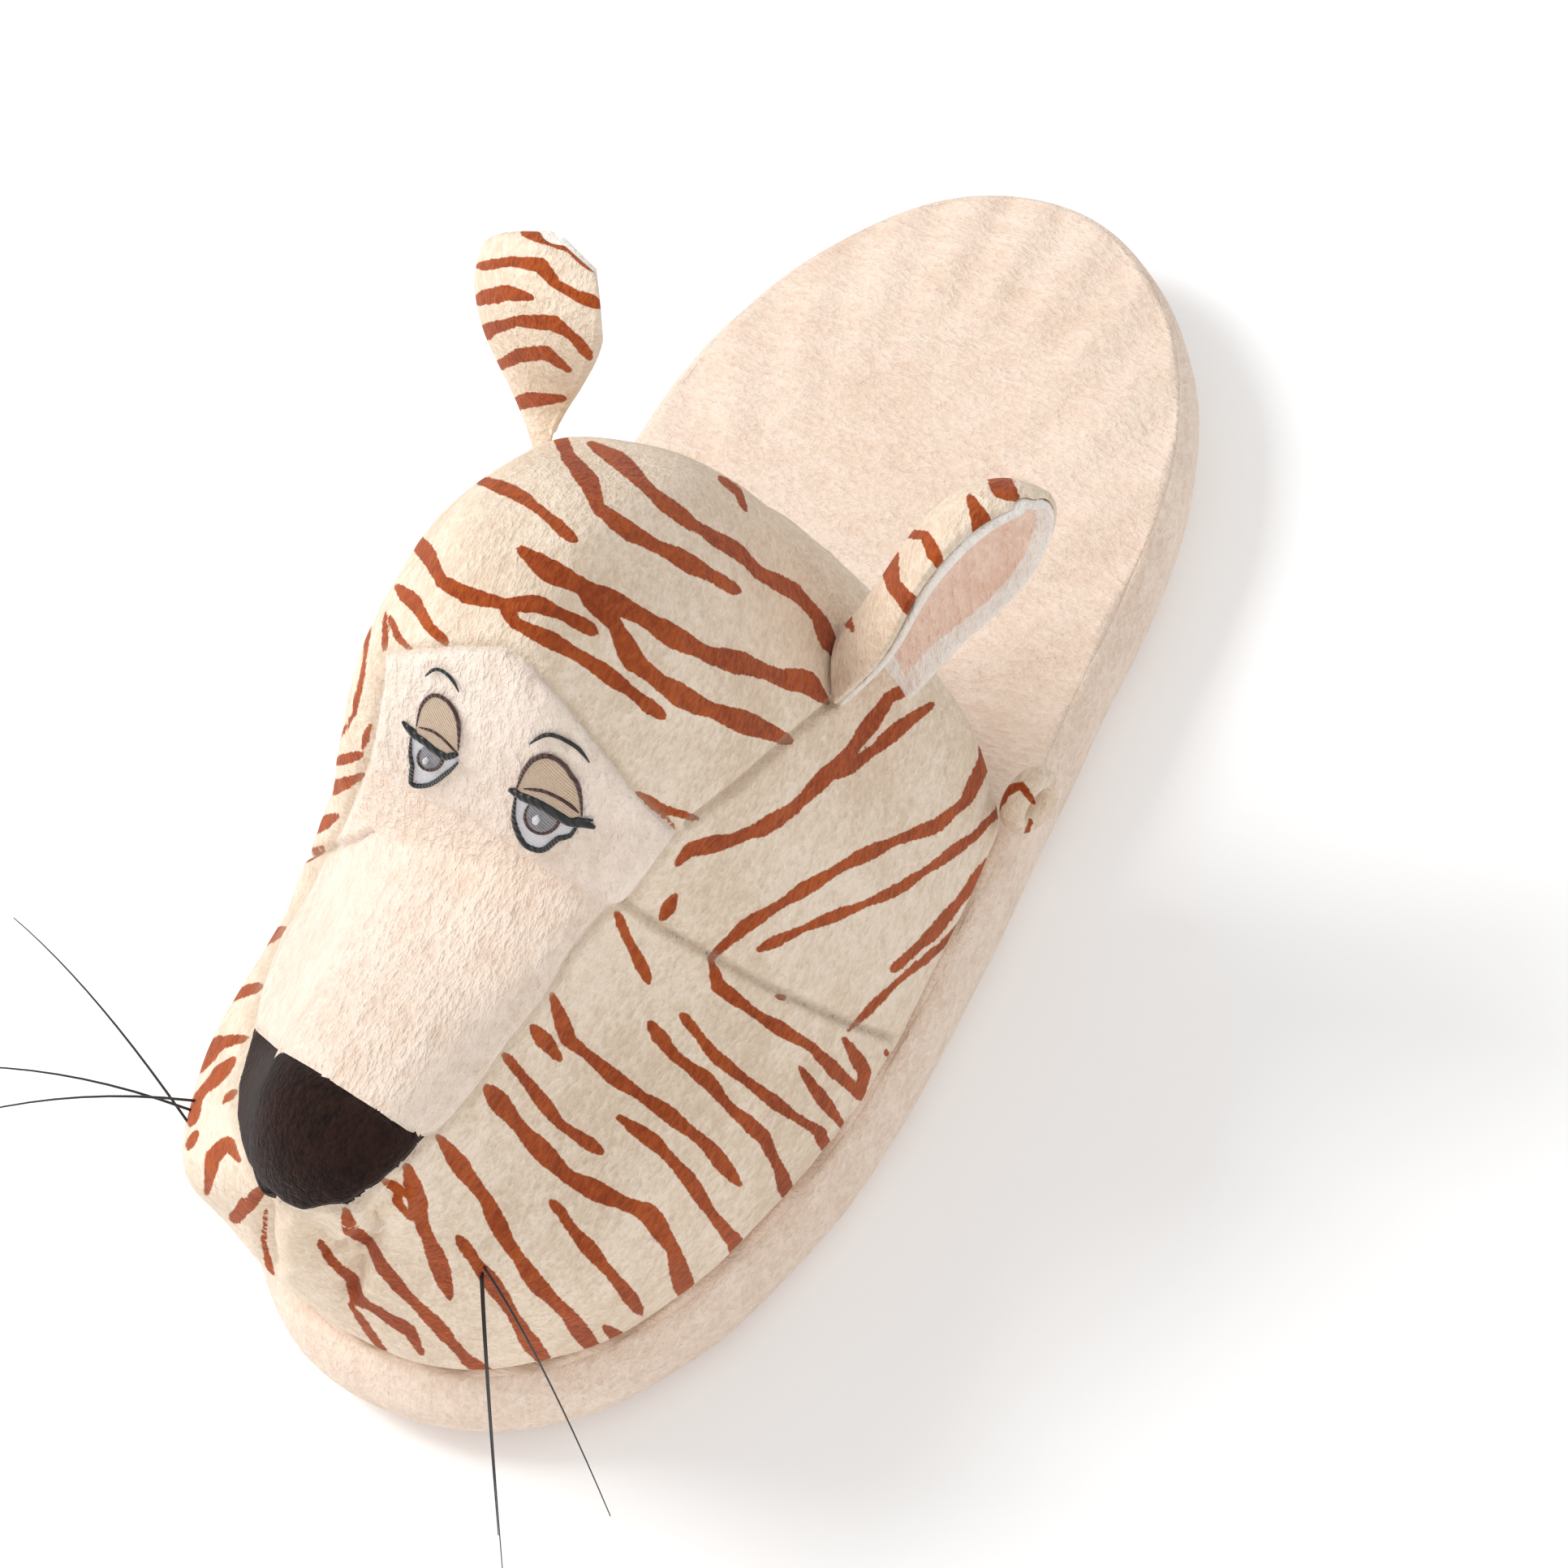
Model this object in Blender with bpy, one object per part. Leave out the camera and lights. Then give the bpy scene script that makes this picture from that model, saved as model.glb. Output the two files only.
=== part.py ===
"""An animal slipper: an open-heeled plush mule whose upper is a padded tiger's head.

The toe points to -Y, the heel to +Y and +X is the wearer's left. The origin lies on the
underside at half the sole's length, so the floor is z = 0. Lengths are in metres.
"""

import math
from collections import namedtuple

import bpy
import bmesh
from mathutils import Matrix, Vector
from mathutils.bvhtree import BVHTree

# Sole: outline, thickness, edge and the layers let into it.
SOLE_LENGTH = 0.275
HEEL_WIDTH = 0.099
BALL_WIDTH = 0.106
HEEL_ROUND = 0.078
TOE_ROUND = 0.100
TOE_POWER = 2.2
HEEL_SHIFT = 0.003
TOE_SHIFT = -0.0038
SOLE_THICK = 0.0215
WEDGE_DROP = 0.0045
TOE_SPRING = 0.0035
HEEL_SPRING = 0.0012
FLAT_FRONT = 0.088
FLAT_BACK = 0.108
BORDER_WIDTH = 0.016
OUTSOLE_THICK = 0.0015
OUTSOLE_PROUD = 0.0006
LIP_WIDTH = 0.0042
INSOLE_THICK = 0.0024
INSOLE_PUFF = 0.0016
GAP = 0.0003

# Upper: reach and height of the head over the sole, and its padded wall.
UPPER_LENGTH = 0.132
HEAD_HEIGHT = 0.113
WALL = 0.007
OUTER_BULGE = 0.003
INNER_BULGE = 0.014
CROWN_LEAN = -0.005
PANEL_THICK = 0.0026
PANEL_GAP = 0.0006
SIDE_GAP = 0.0013
STEEPEST_EDGE = 0.35
COLLAR_ROLL = 0.5

# Ears: two layers of plush, cupped along their length.
EAR_LENGTH = 0.052
EAR_WIDTH = 0.050
EAR_LAYER = 0.0018
EAR_SEAT = 0.6

# Tuck: a rolled loop of plush at the lower end of the collar.
TUCK_ROUND = 0.0045
TUCK_THICK = 0.0026
TUCK_TURN = 6
TUCK_FLAT = 0.7
TUCK_SHIFT = (1.2, 0.3, 0.8)
TUCK_AXIS = (0.94, -0.35, 0.0)
TUCK_STEPS = 16
TUCK_SIDES = 8

# Whiskers: threads that stand out of the muzzle.
WHISKER_THICK = 0.0008

HEEL_STEPS = 8
SIDE_STEPS = 4
TOE_STEPS = 9
ROUND_STEPS = HEEL_STEPS + SIDE_STEPS + TOE_STEPS
SECTIONS_BETWEEN = 2
SIDE_COLUMNS = 10
PANEL_COLUMNS = 5
COLUMNS = 2 * (SIDE_COLUMNS + PANEL_COLUMNS)

# Edge of the sole, from the pocket for the outsole round to the pocket for the insole.
# inset: distance in from the outline, as a share of the thickness; height: share of the thickness.
SOLE_EDGE = [
    # inset, height
    (0.40, 0.03),
    (0.17, 0.10),
    (0.045, 0.29),
    (0.0, 0.54),
    (0.035, 0.78),
    (0.11, 0.93),
    (0.165, 0.985),
]

# Head sections from the collar forward and down to the toe, each an arch over the foot.
# foot, back, up: where the arch stands and where its crest lies. foot and back are shares of the
# upper's length from the toe's seam, up is a share of the head's height above the insole.
# ridge: half-width of the top part, as a share of the foot's half-width; cheek: the lower part's
# height as a share of the arch; panel: half-width of the face panels, as a share of the foot's;
# tunnel: height of the hollow inside as a share of the arch; square: how square the arch is;
# bulge: share of the cheeks' bulge past the sole; lean: share of the crown's lean to one side.
Section = namedtuple("Section", "foot back up ridge cheek panel tunnel square bulge lean")
HEAD = [
    # foot, back, up, ridge, cheek, panel, tunnel, square, bulge, lean
    (1.000, 1.030, 0.525, 0.66, 0.84, 0.30, 0.90, 2.3, 0.0, 0.8),
    (0.915, 0.920, 0.780, 0.65, 0.66, 0.28, 0.84, 2.5, 0.0, 1.3),
    (0.780, 0.710, 0.970, 0.71, 0.56, 0.24, 0.80, 2.8, 0.0, 1.4),
    (0.665, 0.540, 1.030, 0.70, 0.54, 0.20, 0.78, 2.8, 0.0, 1.2),
    (0.570, 0.430, 0.990, 0.68, 0.54, 0.18, 0.76, 2.8, 0.1, 1.0),
    (0.548, 0.408, 0.942, 0.66, 0.56, 0.53, 0.76, 2.8, 0.1, 0.8),
    (0.525, 0.385, 0.880, 0.64, 0.58, 0.58, 0.76, 2.8, 0.2, 0.6),
    (0.490, 0.375, 0.765, 0.60, 0.64, 0.53, 0.78, 2.8, 0.3, 0.3),
    (0.450, 0.350, 0.650, 0.54, 0.70, 0.44, 0.80, 3.2, 0.4, 0.1),
    (0.330, 0.160, 0.665, 0.46, 0.68, 0.36, 0.66, 3.4, 0.7, 0.1),
    (0.230, -0.030, 0.690, 0.44, 0.64, 0.36, 0.52, 3.0, 0.8, 0.3),
    (0.175, -0.105, 0.640, 0.45, 0.68, 0.37, 0.48, 2.4, 0.8, 0.4),
    (0.130, -0.110, 0.545, 0.42, 0.74, 0.26, 0.46, 2.0, 0.8, 0.4),
    (0.095, -0.070, 0.450, 0.50, 0.80, 0.26, 0.44, 2.0, 0.6, 0.3),
    (0.055, -0.050, 0.300, 0.60, 0.88, 0.26, 0.40, 2.0, 0.4, 0.2),
    (0.025, -0.030, 0.150, 0.70, 0.90, 0.26, 0.36, 2.0, 0.1, 0.1),
    (0.002, -0.004, 0.025, 0.80, 0.90, 0.26, 0.36, 2.0, 0.0, 0.0),
]
PATCH_TOP = 4
EYE_SEAM = 8
NOSE_SEAM = 10
NOSE_END = 12


def mix(a, b, t):
    return a + (b - a) * t


def ease(t):
    t = min(1.0, max(0.0, t))
    return t * t * (3.0 - 2.0 * t)


def plush(name, colour, roughness):
    material = bpy.data.materials.new(name)
    material.use_nodes = True
    shader = material.node_tree.nodes["Principled BSDF"]
    shader.inputs["Base Color"].default_value = (*colour, 1.0)
    shader.inputs["Roughness"].default_value = roughness
    shader.inputs["Metallic"].default_value = 0.0
    return material


def add_object(name, bm, material):
    bmesh.ops.recalc_face_normals(bm, faces=bm.faces)
    mesh = bpy.data.meshes.new(name)
    bm.to_mesh(mesh)
    bm.free()
    mesh.shade_smooth()
    mesh.set_sharp_from_angle(angle=math.radians(50))
    mesh.materials.append(material)
    obj = bpy.data.objects.new(name, mesh)
    bpy.context.scene.collection.objects.link(obj)
    return obj


def strip(bm, first, second):
    """Faces between two rows of vertices; rows that share a vertex there get a triangle."""
    for a, b, c, d in zip(first, first[1:], second[1:], second):
        corners = []
        for corner in (a, b, c, d):
            if corner not in corners:
                corners.append(corner)
        if len(corners) > 2:
            bm.faces.new(corners)


# The sole's outline and its lift off the floor.


def middle(y):
    return mix(TOE_SHIFT, HEEL_SHIFT, ease(0.5 + y / SOLE_LENGTH))


def outline_side(inset):
    """Half-widths and places along one side, from the heel's tip to the toe's tip."""
    heel_centre = SOLE_LENGTH / 2 - HEEL_ROUND
    toe_centre = TOE_ROUND - SOLE_LENGTH / 2
    side = []
    for step in range(HEEL_STEPS + 1):
        turn = math.pi / 2 * step / HEEL_STEPS
        half = (HEEL_WIDTH / 2 - inset) * math.sin(turn)
        side.append((half, heel_centre + (HEEL_ROUND - inset) * math.cos(turn)))
    for step in range(1, SIDE_STEPS):
        share = step / SIDE_STEPS
        half = mix(HEEL_WIDTH, BALL_WIDTH, share) / 2 - inset
        side.append((half, mix(heel_centre, toe_centre, share)))
    for step in range(TOE_STEPS + 1):
        turn = math.pi / 2 * step / TOE_STEPS
        half = (BALL_WIDTH / 2 - inset) * math.cos(turn) ** (2 / TOE_POWER)
        reach = (TOE_ROUND - inset) * math.sin(turn) ** (2 / TOE_POWER)
        side.append((half, toe_centre - reach))
    return side


def half_width(y, inset):
    """Half-width of the sole at y, a distance inset in from its edge."""
    heel_centre = SOLE_LENGTH / 2 - HEEL_ROUND
    toe_centre = TOE_ROUND - SOLE_LENGTH / 2
    if y > heel_centre:
        share = min(1.0, (y - heel_centre) / (HEEL_ROUND - inset))
        return (HEEL_WIDTH / 2 - inset) * math.sqrt(1.0 - share * share)
    if y < toe_centre:
        share = min(1.0, (toe_centre - y) / (TOE_ROUND - inset))
        return (BALL_WIDTH / 2 - inset) * (1.0 - share**TOE_POWER) ** (1 / TOE_POWER)
    share = (heel_centre - y) / (heel_centre - toe_centre)
    return mix(HEEL_WIDTH, BALL_WIDTH, share) / 2 - inset


def wedge(y):
    """Thickness of the sole, which thins from the heel to the toe."""
    return SOLE_THICK - WEDGE_DROP * (0.5 - y / SOLE_LENGTH)


def lift(y):
    """How far the underside rises off the floor, at the toe's spring and under the heel's end."""
    toe = max(0.0, (-FLAT_FRONT - y) / (SOLE_LENGTH / 2 - FLAT_FRONT))
    heel = max(0.0, (y - FLAT_BACK) / (SOLE_LENGTH / 2 - FLAT_BACK))
    return TOE_SPRING * toe * toe + HEEL_SPRING * heel * heel


def ring(bm, inset, up, share=0.0):
    """A loop round the sole: heel tip, right side, toe tip, left side. Its height is up, with
    share of the sole's thickness there added."""
    side = outline_side(inset)
    right = [(middle(y) + half, y) for half, y in side]
    left = [(middle(y) - half, y) for half, y in side[-2:0:-1]]
    return [bm.verts.new((x, y, up + share * wedge(y) + lift(y))) for x, y in right + left]


def cap(bm, loop):
    """Faces across a ring, from each right-hand vertex to the left-hand one opposite."""
    count = len(loop)
    right = loop[: ROUND_STEPS + 1]
    left = [loop[(count - step) % count] for step in range(ROUND_STEPS + 1)]
    strip(bm, right, left)


def stack(name, levels, material):
    """A closed solid from rings at (inset, up, share of thickness), capped at both ends."""
    bm = bmesh.new()
    rings = [ring(bm, *level) for level in levels]
    for lower, upper in zip(rings, rings[1:]):
        strip(bm, lower + lower[:1], upper + upper[:1])
    cap(bm, rings[0])
    cap(bm, rings[-1])
    return add_object(name, bm, material)


def make_sole(cream, grip):
    """The foam slab in its plush, and the grip fabric let into its underside."""
    body = [(BORDER_WIDTH, OUTSOLE_THICK + GAP), (BORDER_WIDTH, OUTSOLE_PROUD)]
    for inset, height in SOLE_EDGE:
        body.append((inset * SOLE_THICK, 0.0, height))
    body.append((LIP_WIDTH, -GAP, 1.0))
    body.append((LIP_WIDTH, -INSOLE_THICK, 1.0))
    stack("sole_body", body, cream)
    rim = BORDER_WIDTH + GAP
    stack("outsole", [(rim, 0.0), (rim, OUTSOLE_THICK)], grip)


def make_insole(cream):
    """The insole's cover: flat at its seam and under the upper, puffed where it is open."""
    bm = bmesh.new()
    seam = LIP_WIDTH + GAP
    low = ring(bm, seam, GAP - INSOLE_THICK, 1.0)
    rings = [low]
    for share in (0.0, 0.5, 1.2, 2.2, 3.4):
        rings.append(ring(bm, seam + share * WALL, 0.0, 1.0))
        for vertex in rings[-1]:
            opened = ease((vertex.co.y - COLLAR_Y - WALL) / (2 * WALL))
            vertex.co.z += INSOLE_PUFF * ease(share / 2) * opened
    for lower, upper in zip(rings, rings[1:]):
        strip(bm, lower + lower[:1], upper + upper[:1])
    cap(bm, low)
    cap(bm, rings[-1])
    add_object("insole", bm, cream)


# The head: an arch for each section, from the right foot over the crest to the left foot.

FEATHER = LIP_WIDTH + 2 * GAP
TOE_SEAM_Y = FEATHER - SOLE_LENGTH / 2
COLLAR_Y = TOE_SEAM_Y + UPPER_LENGTH
SMOOTH_POWER = 6.0
CHEEK_SQUARE = 2.1
SEAM_HALVINGS = 20
TUNNEL_SQUARE = 2.2


def spline(rows, share):
    """A row read between the rows of a table, on a smooth curve through all of them."""
    place = share * (len(rows) - 1)
    start = min(int(place), len(rows) - 2)
    t = place - start
    values = []
    for column in range(len(rows[0])):
        before = rows[max(start - 1, 0)][column]
        first = rows[start][column]
        second = rows[start + 1][column]
        after = rows[min(start + 2, len(rows) - 1)][column]
        slope_in = (second - before) / 2
        slope_out = (after - first) / 2
        cubic = 2 * first - 2 * second + slope_in + slope_out
        square = 3 * second - 3 * first - 2 * slope_in - slope_out
        values.append(((cubic * t + square) * t + slope_in) * t + first)
    return values


def reach(turn, half, height, power):
    """Distance from an arch's centre to a superellipse, in the direction turn."""
    across = abs(math.cos(turn)) / half
    upward = abs(math.sin(turn)) / height
    return (across**power + upward**power) ** (-1 / power)


def section(share):
    """One section's foot, its axis up to the crest, its half-width there and its table row."""
    form = Section(*spline(HEAD, share))
    foot_y = TOE_SEAM_Y + form.foot * UPPER_LENGTH
    base = Vector((middle(foot_y), foot_y, wedge(foot_y) + lift(foot_y) + GAP))
    crest_z = wedge(foot_y) + GAP + form.up * HEAD_HEIGHT
    crest = Vector((base.x, TOE_SEAM_Y + form.back * UPPER_LENGTH, crest_z))
    return base, crest - base, half_width(foot_y, FEATHER), form


def arch_radius(turn, half, height, cheek, ridge, square):
    """A broad low arch for the cheeks and a narrow high one for crown or snout, run together."""
    low = reach(turn, half, height * cheek, CHEEK_SQUARE)
    high = reach(turn, half * ridge, height, square)
    return (low**SMOOTH_POWER + high**SMOOTH_POWER) ** (1 / SMOOTH_POWER)


def arch_point(share, turn):
    """A point of the head's outside. turn runs from 0 at the +X foot to pi at the -X foot."""
    base, axis, half, form = section(share)
    height = axis.length
    radius = arch_radius(turn, half, height, form.cheek, form.ridge, form.square)
    side = OUTER_BULGE if math.cos(turn) > 0 else -INNER_BULGE
    rise = radius * math.sin(turn) / height
    across = radius * math.cos(turn) + form.bulge * side * abs(math.sin(2 * turn))
    return base + Vector((across + form.lean * CROWN_LEAN * rise, 0.0, 0.0)) + axis * rise


def seam_turn(share, side):
    """The turn at which the face panels' seam on one side, 1 or -1, crosses a section."""
    base, axis, half, form = section(share)
    centre = arch_point(share, math.pi / 2)
    low, high = math.radians(30), math.radians(89.9)
    for halving in range(SEAM_HALVINGS):
        turn = (low + high) / 2
        point = arch_point(share, turn if side > 0 else math.pi - turn)
        if side * (point.x - centre.x) > form.panel * half:
            low = turn
        else:
            high = turn
    return low if side > 0 else math.pi - low


def column_turns(share):
    """The turns of all columns. The panels' seams keep the same columns all along the head."""
    turns = []
    for side, foot in ((1, 0.0), (-1, math.pi)):
        seam = seam_turn(share, side)
        half = [mix(foot, seam, step / SIDE_COLUMNS) for step in range(SIDE_COLUMNS)]
        half += [mix(seam, math.pi / 2, step / PANEL_COLUMNS) for step in range(PANEL_COLUMNS)]
        turns.append(half)
    return turns[0] + [math.pi / 2] + turns[1][::-1]


def outside(share, turn, depth):
    """A point of the head's outside moved in along its normal by depth."""
    step = 1e-3
    along = arch_point(min(share + step, 1.0), turn) - arch_point(max(share - step, 0.0), turn)
    around = arch_point(share, turn + step) - arch_point(share, turn - step)
    normal = around.cross(along).normalized()
    return arch_point(share, turn) - normal * depth


def tunnel_point(share, turn):
    """A point of the lining, which follows the last inside the padding."""
    base, axis, half, form = section(share)
    y = base.y + WALL * (1.0 - form.foot)
    base = Vector((middle(y), y, wedge(y) + lift(y) + GAP))
    inner = half_width(y, FEATHER + WALL)
    height = axis.length
    cheek = (form.cheek + 1.0) / 2
    radius = arch_radius(turn, inner, height * form.tunnel, cheek, form.ridge, TUNNEL_SQUARE)
    rise = radius * math.sin(turn) / height
    across = radius * math.cos(turn) + form.lean * CROWN_LEAN * rise
    return base + Vector((across, 0.0, 0.0)) + axis * rise


def head_shares():
    count = (len(HEAD) - 1) * SECTIONS_BETWEEN
    return [step / count for step in range(count + 1)]


def grid_rows(bm, shares, point_at):
    rows = []
    for share in shares:
        rows.append([bm.verts.new(point_at(share, turn)) for turn in column_turns(share)])
    return rows


def make_upper(tiger):
    """The hollow padded head, with a step where the face panels lie."""
    bm = bmesh.new()
    shares = head_shares()
    first, last = PATCH_TOP * SECTIONS_BETWEEN, NOSE_END * SECTIONS_BETWEEN
    left, right = SIDE_COLUMNS, COLUMNS - SIDE_COLUMNS
    skin = grid_rows(bm, shares, arch_point)
    lining = grid_rows(bm, shares, tunnel_point)
    sunk = {}
    for row in range(first, last + 1):
        turns = column_turns(shares[row])
        for column in range(left, right + 1):
            depth = PANEL_THICK + PANEL_GAP
            sunk[row, column] = bm.verts.new(outside(shares[row], turns[column], depth))
    for row in skin[first + 1 : last]:
        for vertex in row[left + 1 : right]:
            bm.verts.remove(vertex)
    for row in range(len(shares) - 1):
        for column in range(COLUMNS):
            cell = [(row, column), (row + 1, column), (row + 1, column + 1), (row, column + 1)]
            in_panels = first <= row < last and left <= column < right
            corners = [sunk[key] if in_panels else skin[key[0]][key[1]] for key in cell]
            bm.faces.new(corners)
        strip(bm, lining[row], lining[row + 1])
    for column in (left, right):
        edge = [skin[row][column] for row in range(first, last + 1)]
        strip(bm, edge, [sunk[row, column] for row in range(first, last + 1)])
    for row in (first, last):
        edge = skin[row][left : right + 1]
        strip(bm, edge, [sunk[row, column] for column in range(left, right + 1)])
    for column in (0, COLUMNS):
        strip(bm, [row[column] for row in skin], [row[column] for row in lining])
    for row in (skin[-1], lining[-1]):
        bm.faces.new(row)
    bm.faces.new((skin[-1][0], skin[-1][-1], lining[-1][-1], lining[-1][0]))
    roll = []
    for column in range(COLUMNS + 1):
        edge = (skin[0][column].co + lining[0][column].co) / 2
        roll.append(bm.verts.new(edge + Vector((0.0, WALL * COLLAR_ROLL, 0.0))))
    strip(bm, skin[0], roll)
    strip(bm, roll, lining[0])
    for column in (0, COLUMNS):
        bm.faces.new((skin[0][column], roll[column], lining[0][column]))
    return add_object("upper", bm, tiger)


def make_panel(name, start, end, material):
    """A panel of the face, let into the step of the upper between two of its sections."""
    bm = bmesh.new()
    shares = head_shares()[start * SECTIONS_BETWEEN : end * SECTIONS_BETWEEN + 1]
    layers = []
    for depth in (0.0, PANEL_THICK):
        rows = []
        for share in shares:
            turns = column_turns(share)[SIDE_COLUMNS : COLUMNS - SIDE_COLUMNS + 1]
            rows.append([outside(share, turn, depth) for turn in turns])
        pull_in(rows)
        pull_in_ends(rows)
        layers.append([[bm.verts.new(point) for point in row] for row in rows])
    top, under = layers
    for rows in layers:
        for first, second in zip(rows, rows[1:]):
            strip(bm, first, second)
    for edge in (0, -1):
        strip(bm, top[edge], under[edge])
        strip(bm, [row[edge] for row in top], [row[edge] for row in under])
    add_object(name, bm, material)


def pull_in(rows):
    """Moves both side edges of a panel in, far enough to leave the gap square to the edge."""
    for edge, beside in ((0, 1), (-1, -2)):
        line = [row[edge] for row in rows]
        for index, row in enumerate(rows):
            along = line[min(index + 1, len(line) - 1)] - line[max(index - 1, 0)]
            inward = (row[beside] - row[edge]).normalized()
            slant = inward.cross(along.normalized()).length
            row[edge] = row[edge] + inward * (SIDE_GAP / max(STEEPEST_EDGE, slant))


def pull_in_ends(rows):
    """Moves both end edges of a panel in by the gap to its neighbour."""
    for column in range(len(rows[0])):
        for edge, beside in ((0, 1), (-1, -2)):
            inward = (rows[beside][column] - rows[edge][column]).normalized()
            rows[edge][column] = rows[edge][column] + inward * PANEL_GAP


# Ears: cupped leaves. Each is a table of stations from its root to its tip.

EAR = [
    # along: share of the ear's length; width: share of its width; cup: half the angle it wraps.
    (0.00, 0.88, 78),
    (0.15, 0.92, 78),
    (0.35, 0.97, 76),
    (0.55, 1.00, 70),
    (0.72, 0.94, 62),
    (0.86, 0.74, 56),
    (0.95, 0.46, 50),
    (1.00, 0.16, 45),
]
PINCH_END = 0.6
EAR_COLUMNS = 12
EAR_ROWS_BETWEEN = 2
ROOT_GAP = 0.0005
STEEPEST_SEAT = 0.3

EARS = [
    # side; seat: section and turn in degrees; pinch: the root's width, as a share of the width it
    # would have; tip: where the tip lies from the root, as shares of the ear's length; open: the
    # way its hollow faces.
    ("left", 1.15, 58, 0.85, (0.50, 0.16, 0.78), (0.80, -0.46, -0.34)),
    ("right", 1.05, 101, 0.40, (-0.02, 0.14, 0.76), (0.30, 0.75, -0.10)),
]


def ear_point(frame, station, share, depth):
    """A point on a layer of an ear. share runs across it from -1 to 1, depth in from its back."""
    root, along, across, hollow, length, pinch = frame
    reach_up, width, cup = spline(EAR, station)
    width *= mix(pinch, 1.0, ease(reach_up / PINCH_END))
    wrap = math.radians(cup)
    radius = width * EAR_WIDTH / 2 / wrap
    turn = share * wrap
    centre = root + along * (reach_up * length) + hollow * (radius * EAR_SEAT)
    spread = across * math.sin(turn) - hollow * math.cos(turn)
    return centre + spread * (radius - depth)


def make_ear(name, frame, depth, thickness, skin, material):
    """One layer of an ear. Its root row stands on the head's surface, a gap short of it, and
    the rows above follow with less and less of that shift."""
    bm = bmesh.new()
    stations = (len(EAR) - 1) * EAR_ROWS_BETWEEN
    shares = [2 * column / EAR_COLUMNS - 1 for column in range(EAR_COLUMNS + 1)]
    layers = []
    for at in (depth, depth + thickness):
        roots = [ear_point(frame, 0.0, share, at) for share in shares]
        shifts = [rest_on(skin, point, frame[1]) for point in roots]
        rows = []
        for row in range(stations + 1):
            left_over = 1.0 - row / stations
            points = [ear_point(frame, row / stations, share, at) for share in shares]
            points = [point + shift * left_over for point, shift in zip(points, shifts)]
            rows.append([bm.verts.new(point) for point in points])
        layers.append(rows)
    back, front = layers
    for rows in layers:
        for first, second in zip(rows, rows[1:]):
            strip(bm, first, second)
    for edge in (0, -1):
        strip(bm, back[edge], front[edge])
        strip(bm, [row[edge] for row in back], [row[edge] for row in front])
    add_object(name, bm, material)


def rest_on(skin, point, along):
    """The shift along the ear that sets a root point on the head, held off by the root's gap."""
    hit, normal, face, distance = skin.ray_cast(point + along * EAR_LENGTH / 3, -along)
    return hit + along * (ROOT_GAP / max(STEEPEST_SEAT, abs(normal.dot(along)))) - point


def make_ears(skin, tiger, cream):
    for side, seat, degrees, pinch, tip, opened in EARS:
        turn = math.radians(degrees)
        root = arch_point(seat / (len(HEAD) - 1), turn)
        along = Vector(tip).normalized()
        hollow = Vector(opened)
        hollow = (hollow - along * hollow.dot(along)).normalized()
        across = along.cross(hollow)
        length = EAR_LENGTH * Vector(tip).length
        frame = (root, along, across, hollow, length, pinch)
        make_ear(f"ear_{side}_back", frame, 0.0, EAR_LAYER, skin, tiger)
        inner = EAR_LAYER + GAP
        make_ear(f"ear_{side}_lining", frame, inner, EAR_LAYER, skin, cream)


# The tuck: a loop of the upper's corner, folded back on itself low on the collar's outer side.


def make_tuck(skin, tiger):
    """A small ring of rolled plush that stands on the collar's edge, its hole facing outward."""
    bm = bmesh.new()
    seat = arch_point(0.0, math.radians(TUCK_TURN))
    centre = seat + Vector(TUCK_SHIFT) * TUCK_ROUND
    axis = Vector(TUCK_AXIS).normalized()
    level = Vector((0.0, 0.0, 1.0)).cross(axis).normalized()
    upright = axis.cross(level)
    loops = []
    for step in range(TUCK_STEPS):
        turn = 2 * math.pi * step / TUCK_STEPS
        spoke = level * math.cos(turn) + upright * math.sin(turn)
        loop = []
        for corner in range(TUCK_SIDES):
            angle = 2 * math.pi * corner / TUCK_SIDES
            offset = spoke * (math.cos(angle) * TUCK_FLAT) + axis * math.sin(angle)
            loop.append(bm.verts.new(centre + spoke * TUCK_ROUND + offset * TUCK_THICK))
        loops.append(loop)
    for first, second in zip(loops, loops[1:] + loops[:1]):
        strip(bm, first + first[:1], second + second[:1])
    tuck = add_object("collar_tuck", bm, tiger)
    space = min(skin.find_nearest(vertex.co)[3] for vertex in tuck.data.vertices)
    inward = (skin.find_nearest(centre)[0] - centre).normalized()
    tuck.data.transform(Matrix.Translation(inward * (space - ROOT_GAP)))


# Whiskers: three threads on each side, standing out of the muzzle.

WHISKERS = [
    # section, turn in degrees, then how far the tip lies from the root along x, y and z.
    (12.0, 68, 0.019, -0.038, -0.006),
    (12.0, 68, 0.022, -0.044, -0.008),
    (12.0, 68, 0.034, -0.032, -0.004),
    (10.2, 130, -0.036, 0.017, 0.014),
    (10.2, 130, -0.042, -0.012, 0.006),
    (10.2, 130, -0.040, -0.022, 0.000),
]
WHISKER_SPACING = 0.0014
WHISKER_ROW = (0.0, 0.5, 0.8)
WHISKER_CAST = 0.030
WHISKER_BOW = 0.10
WHISKER_POINTS = 12


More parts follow.
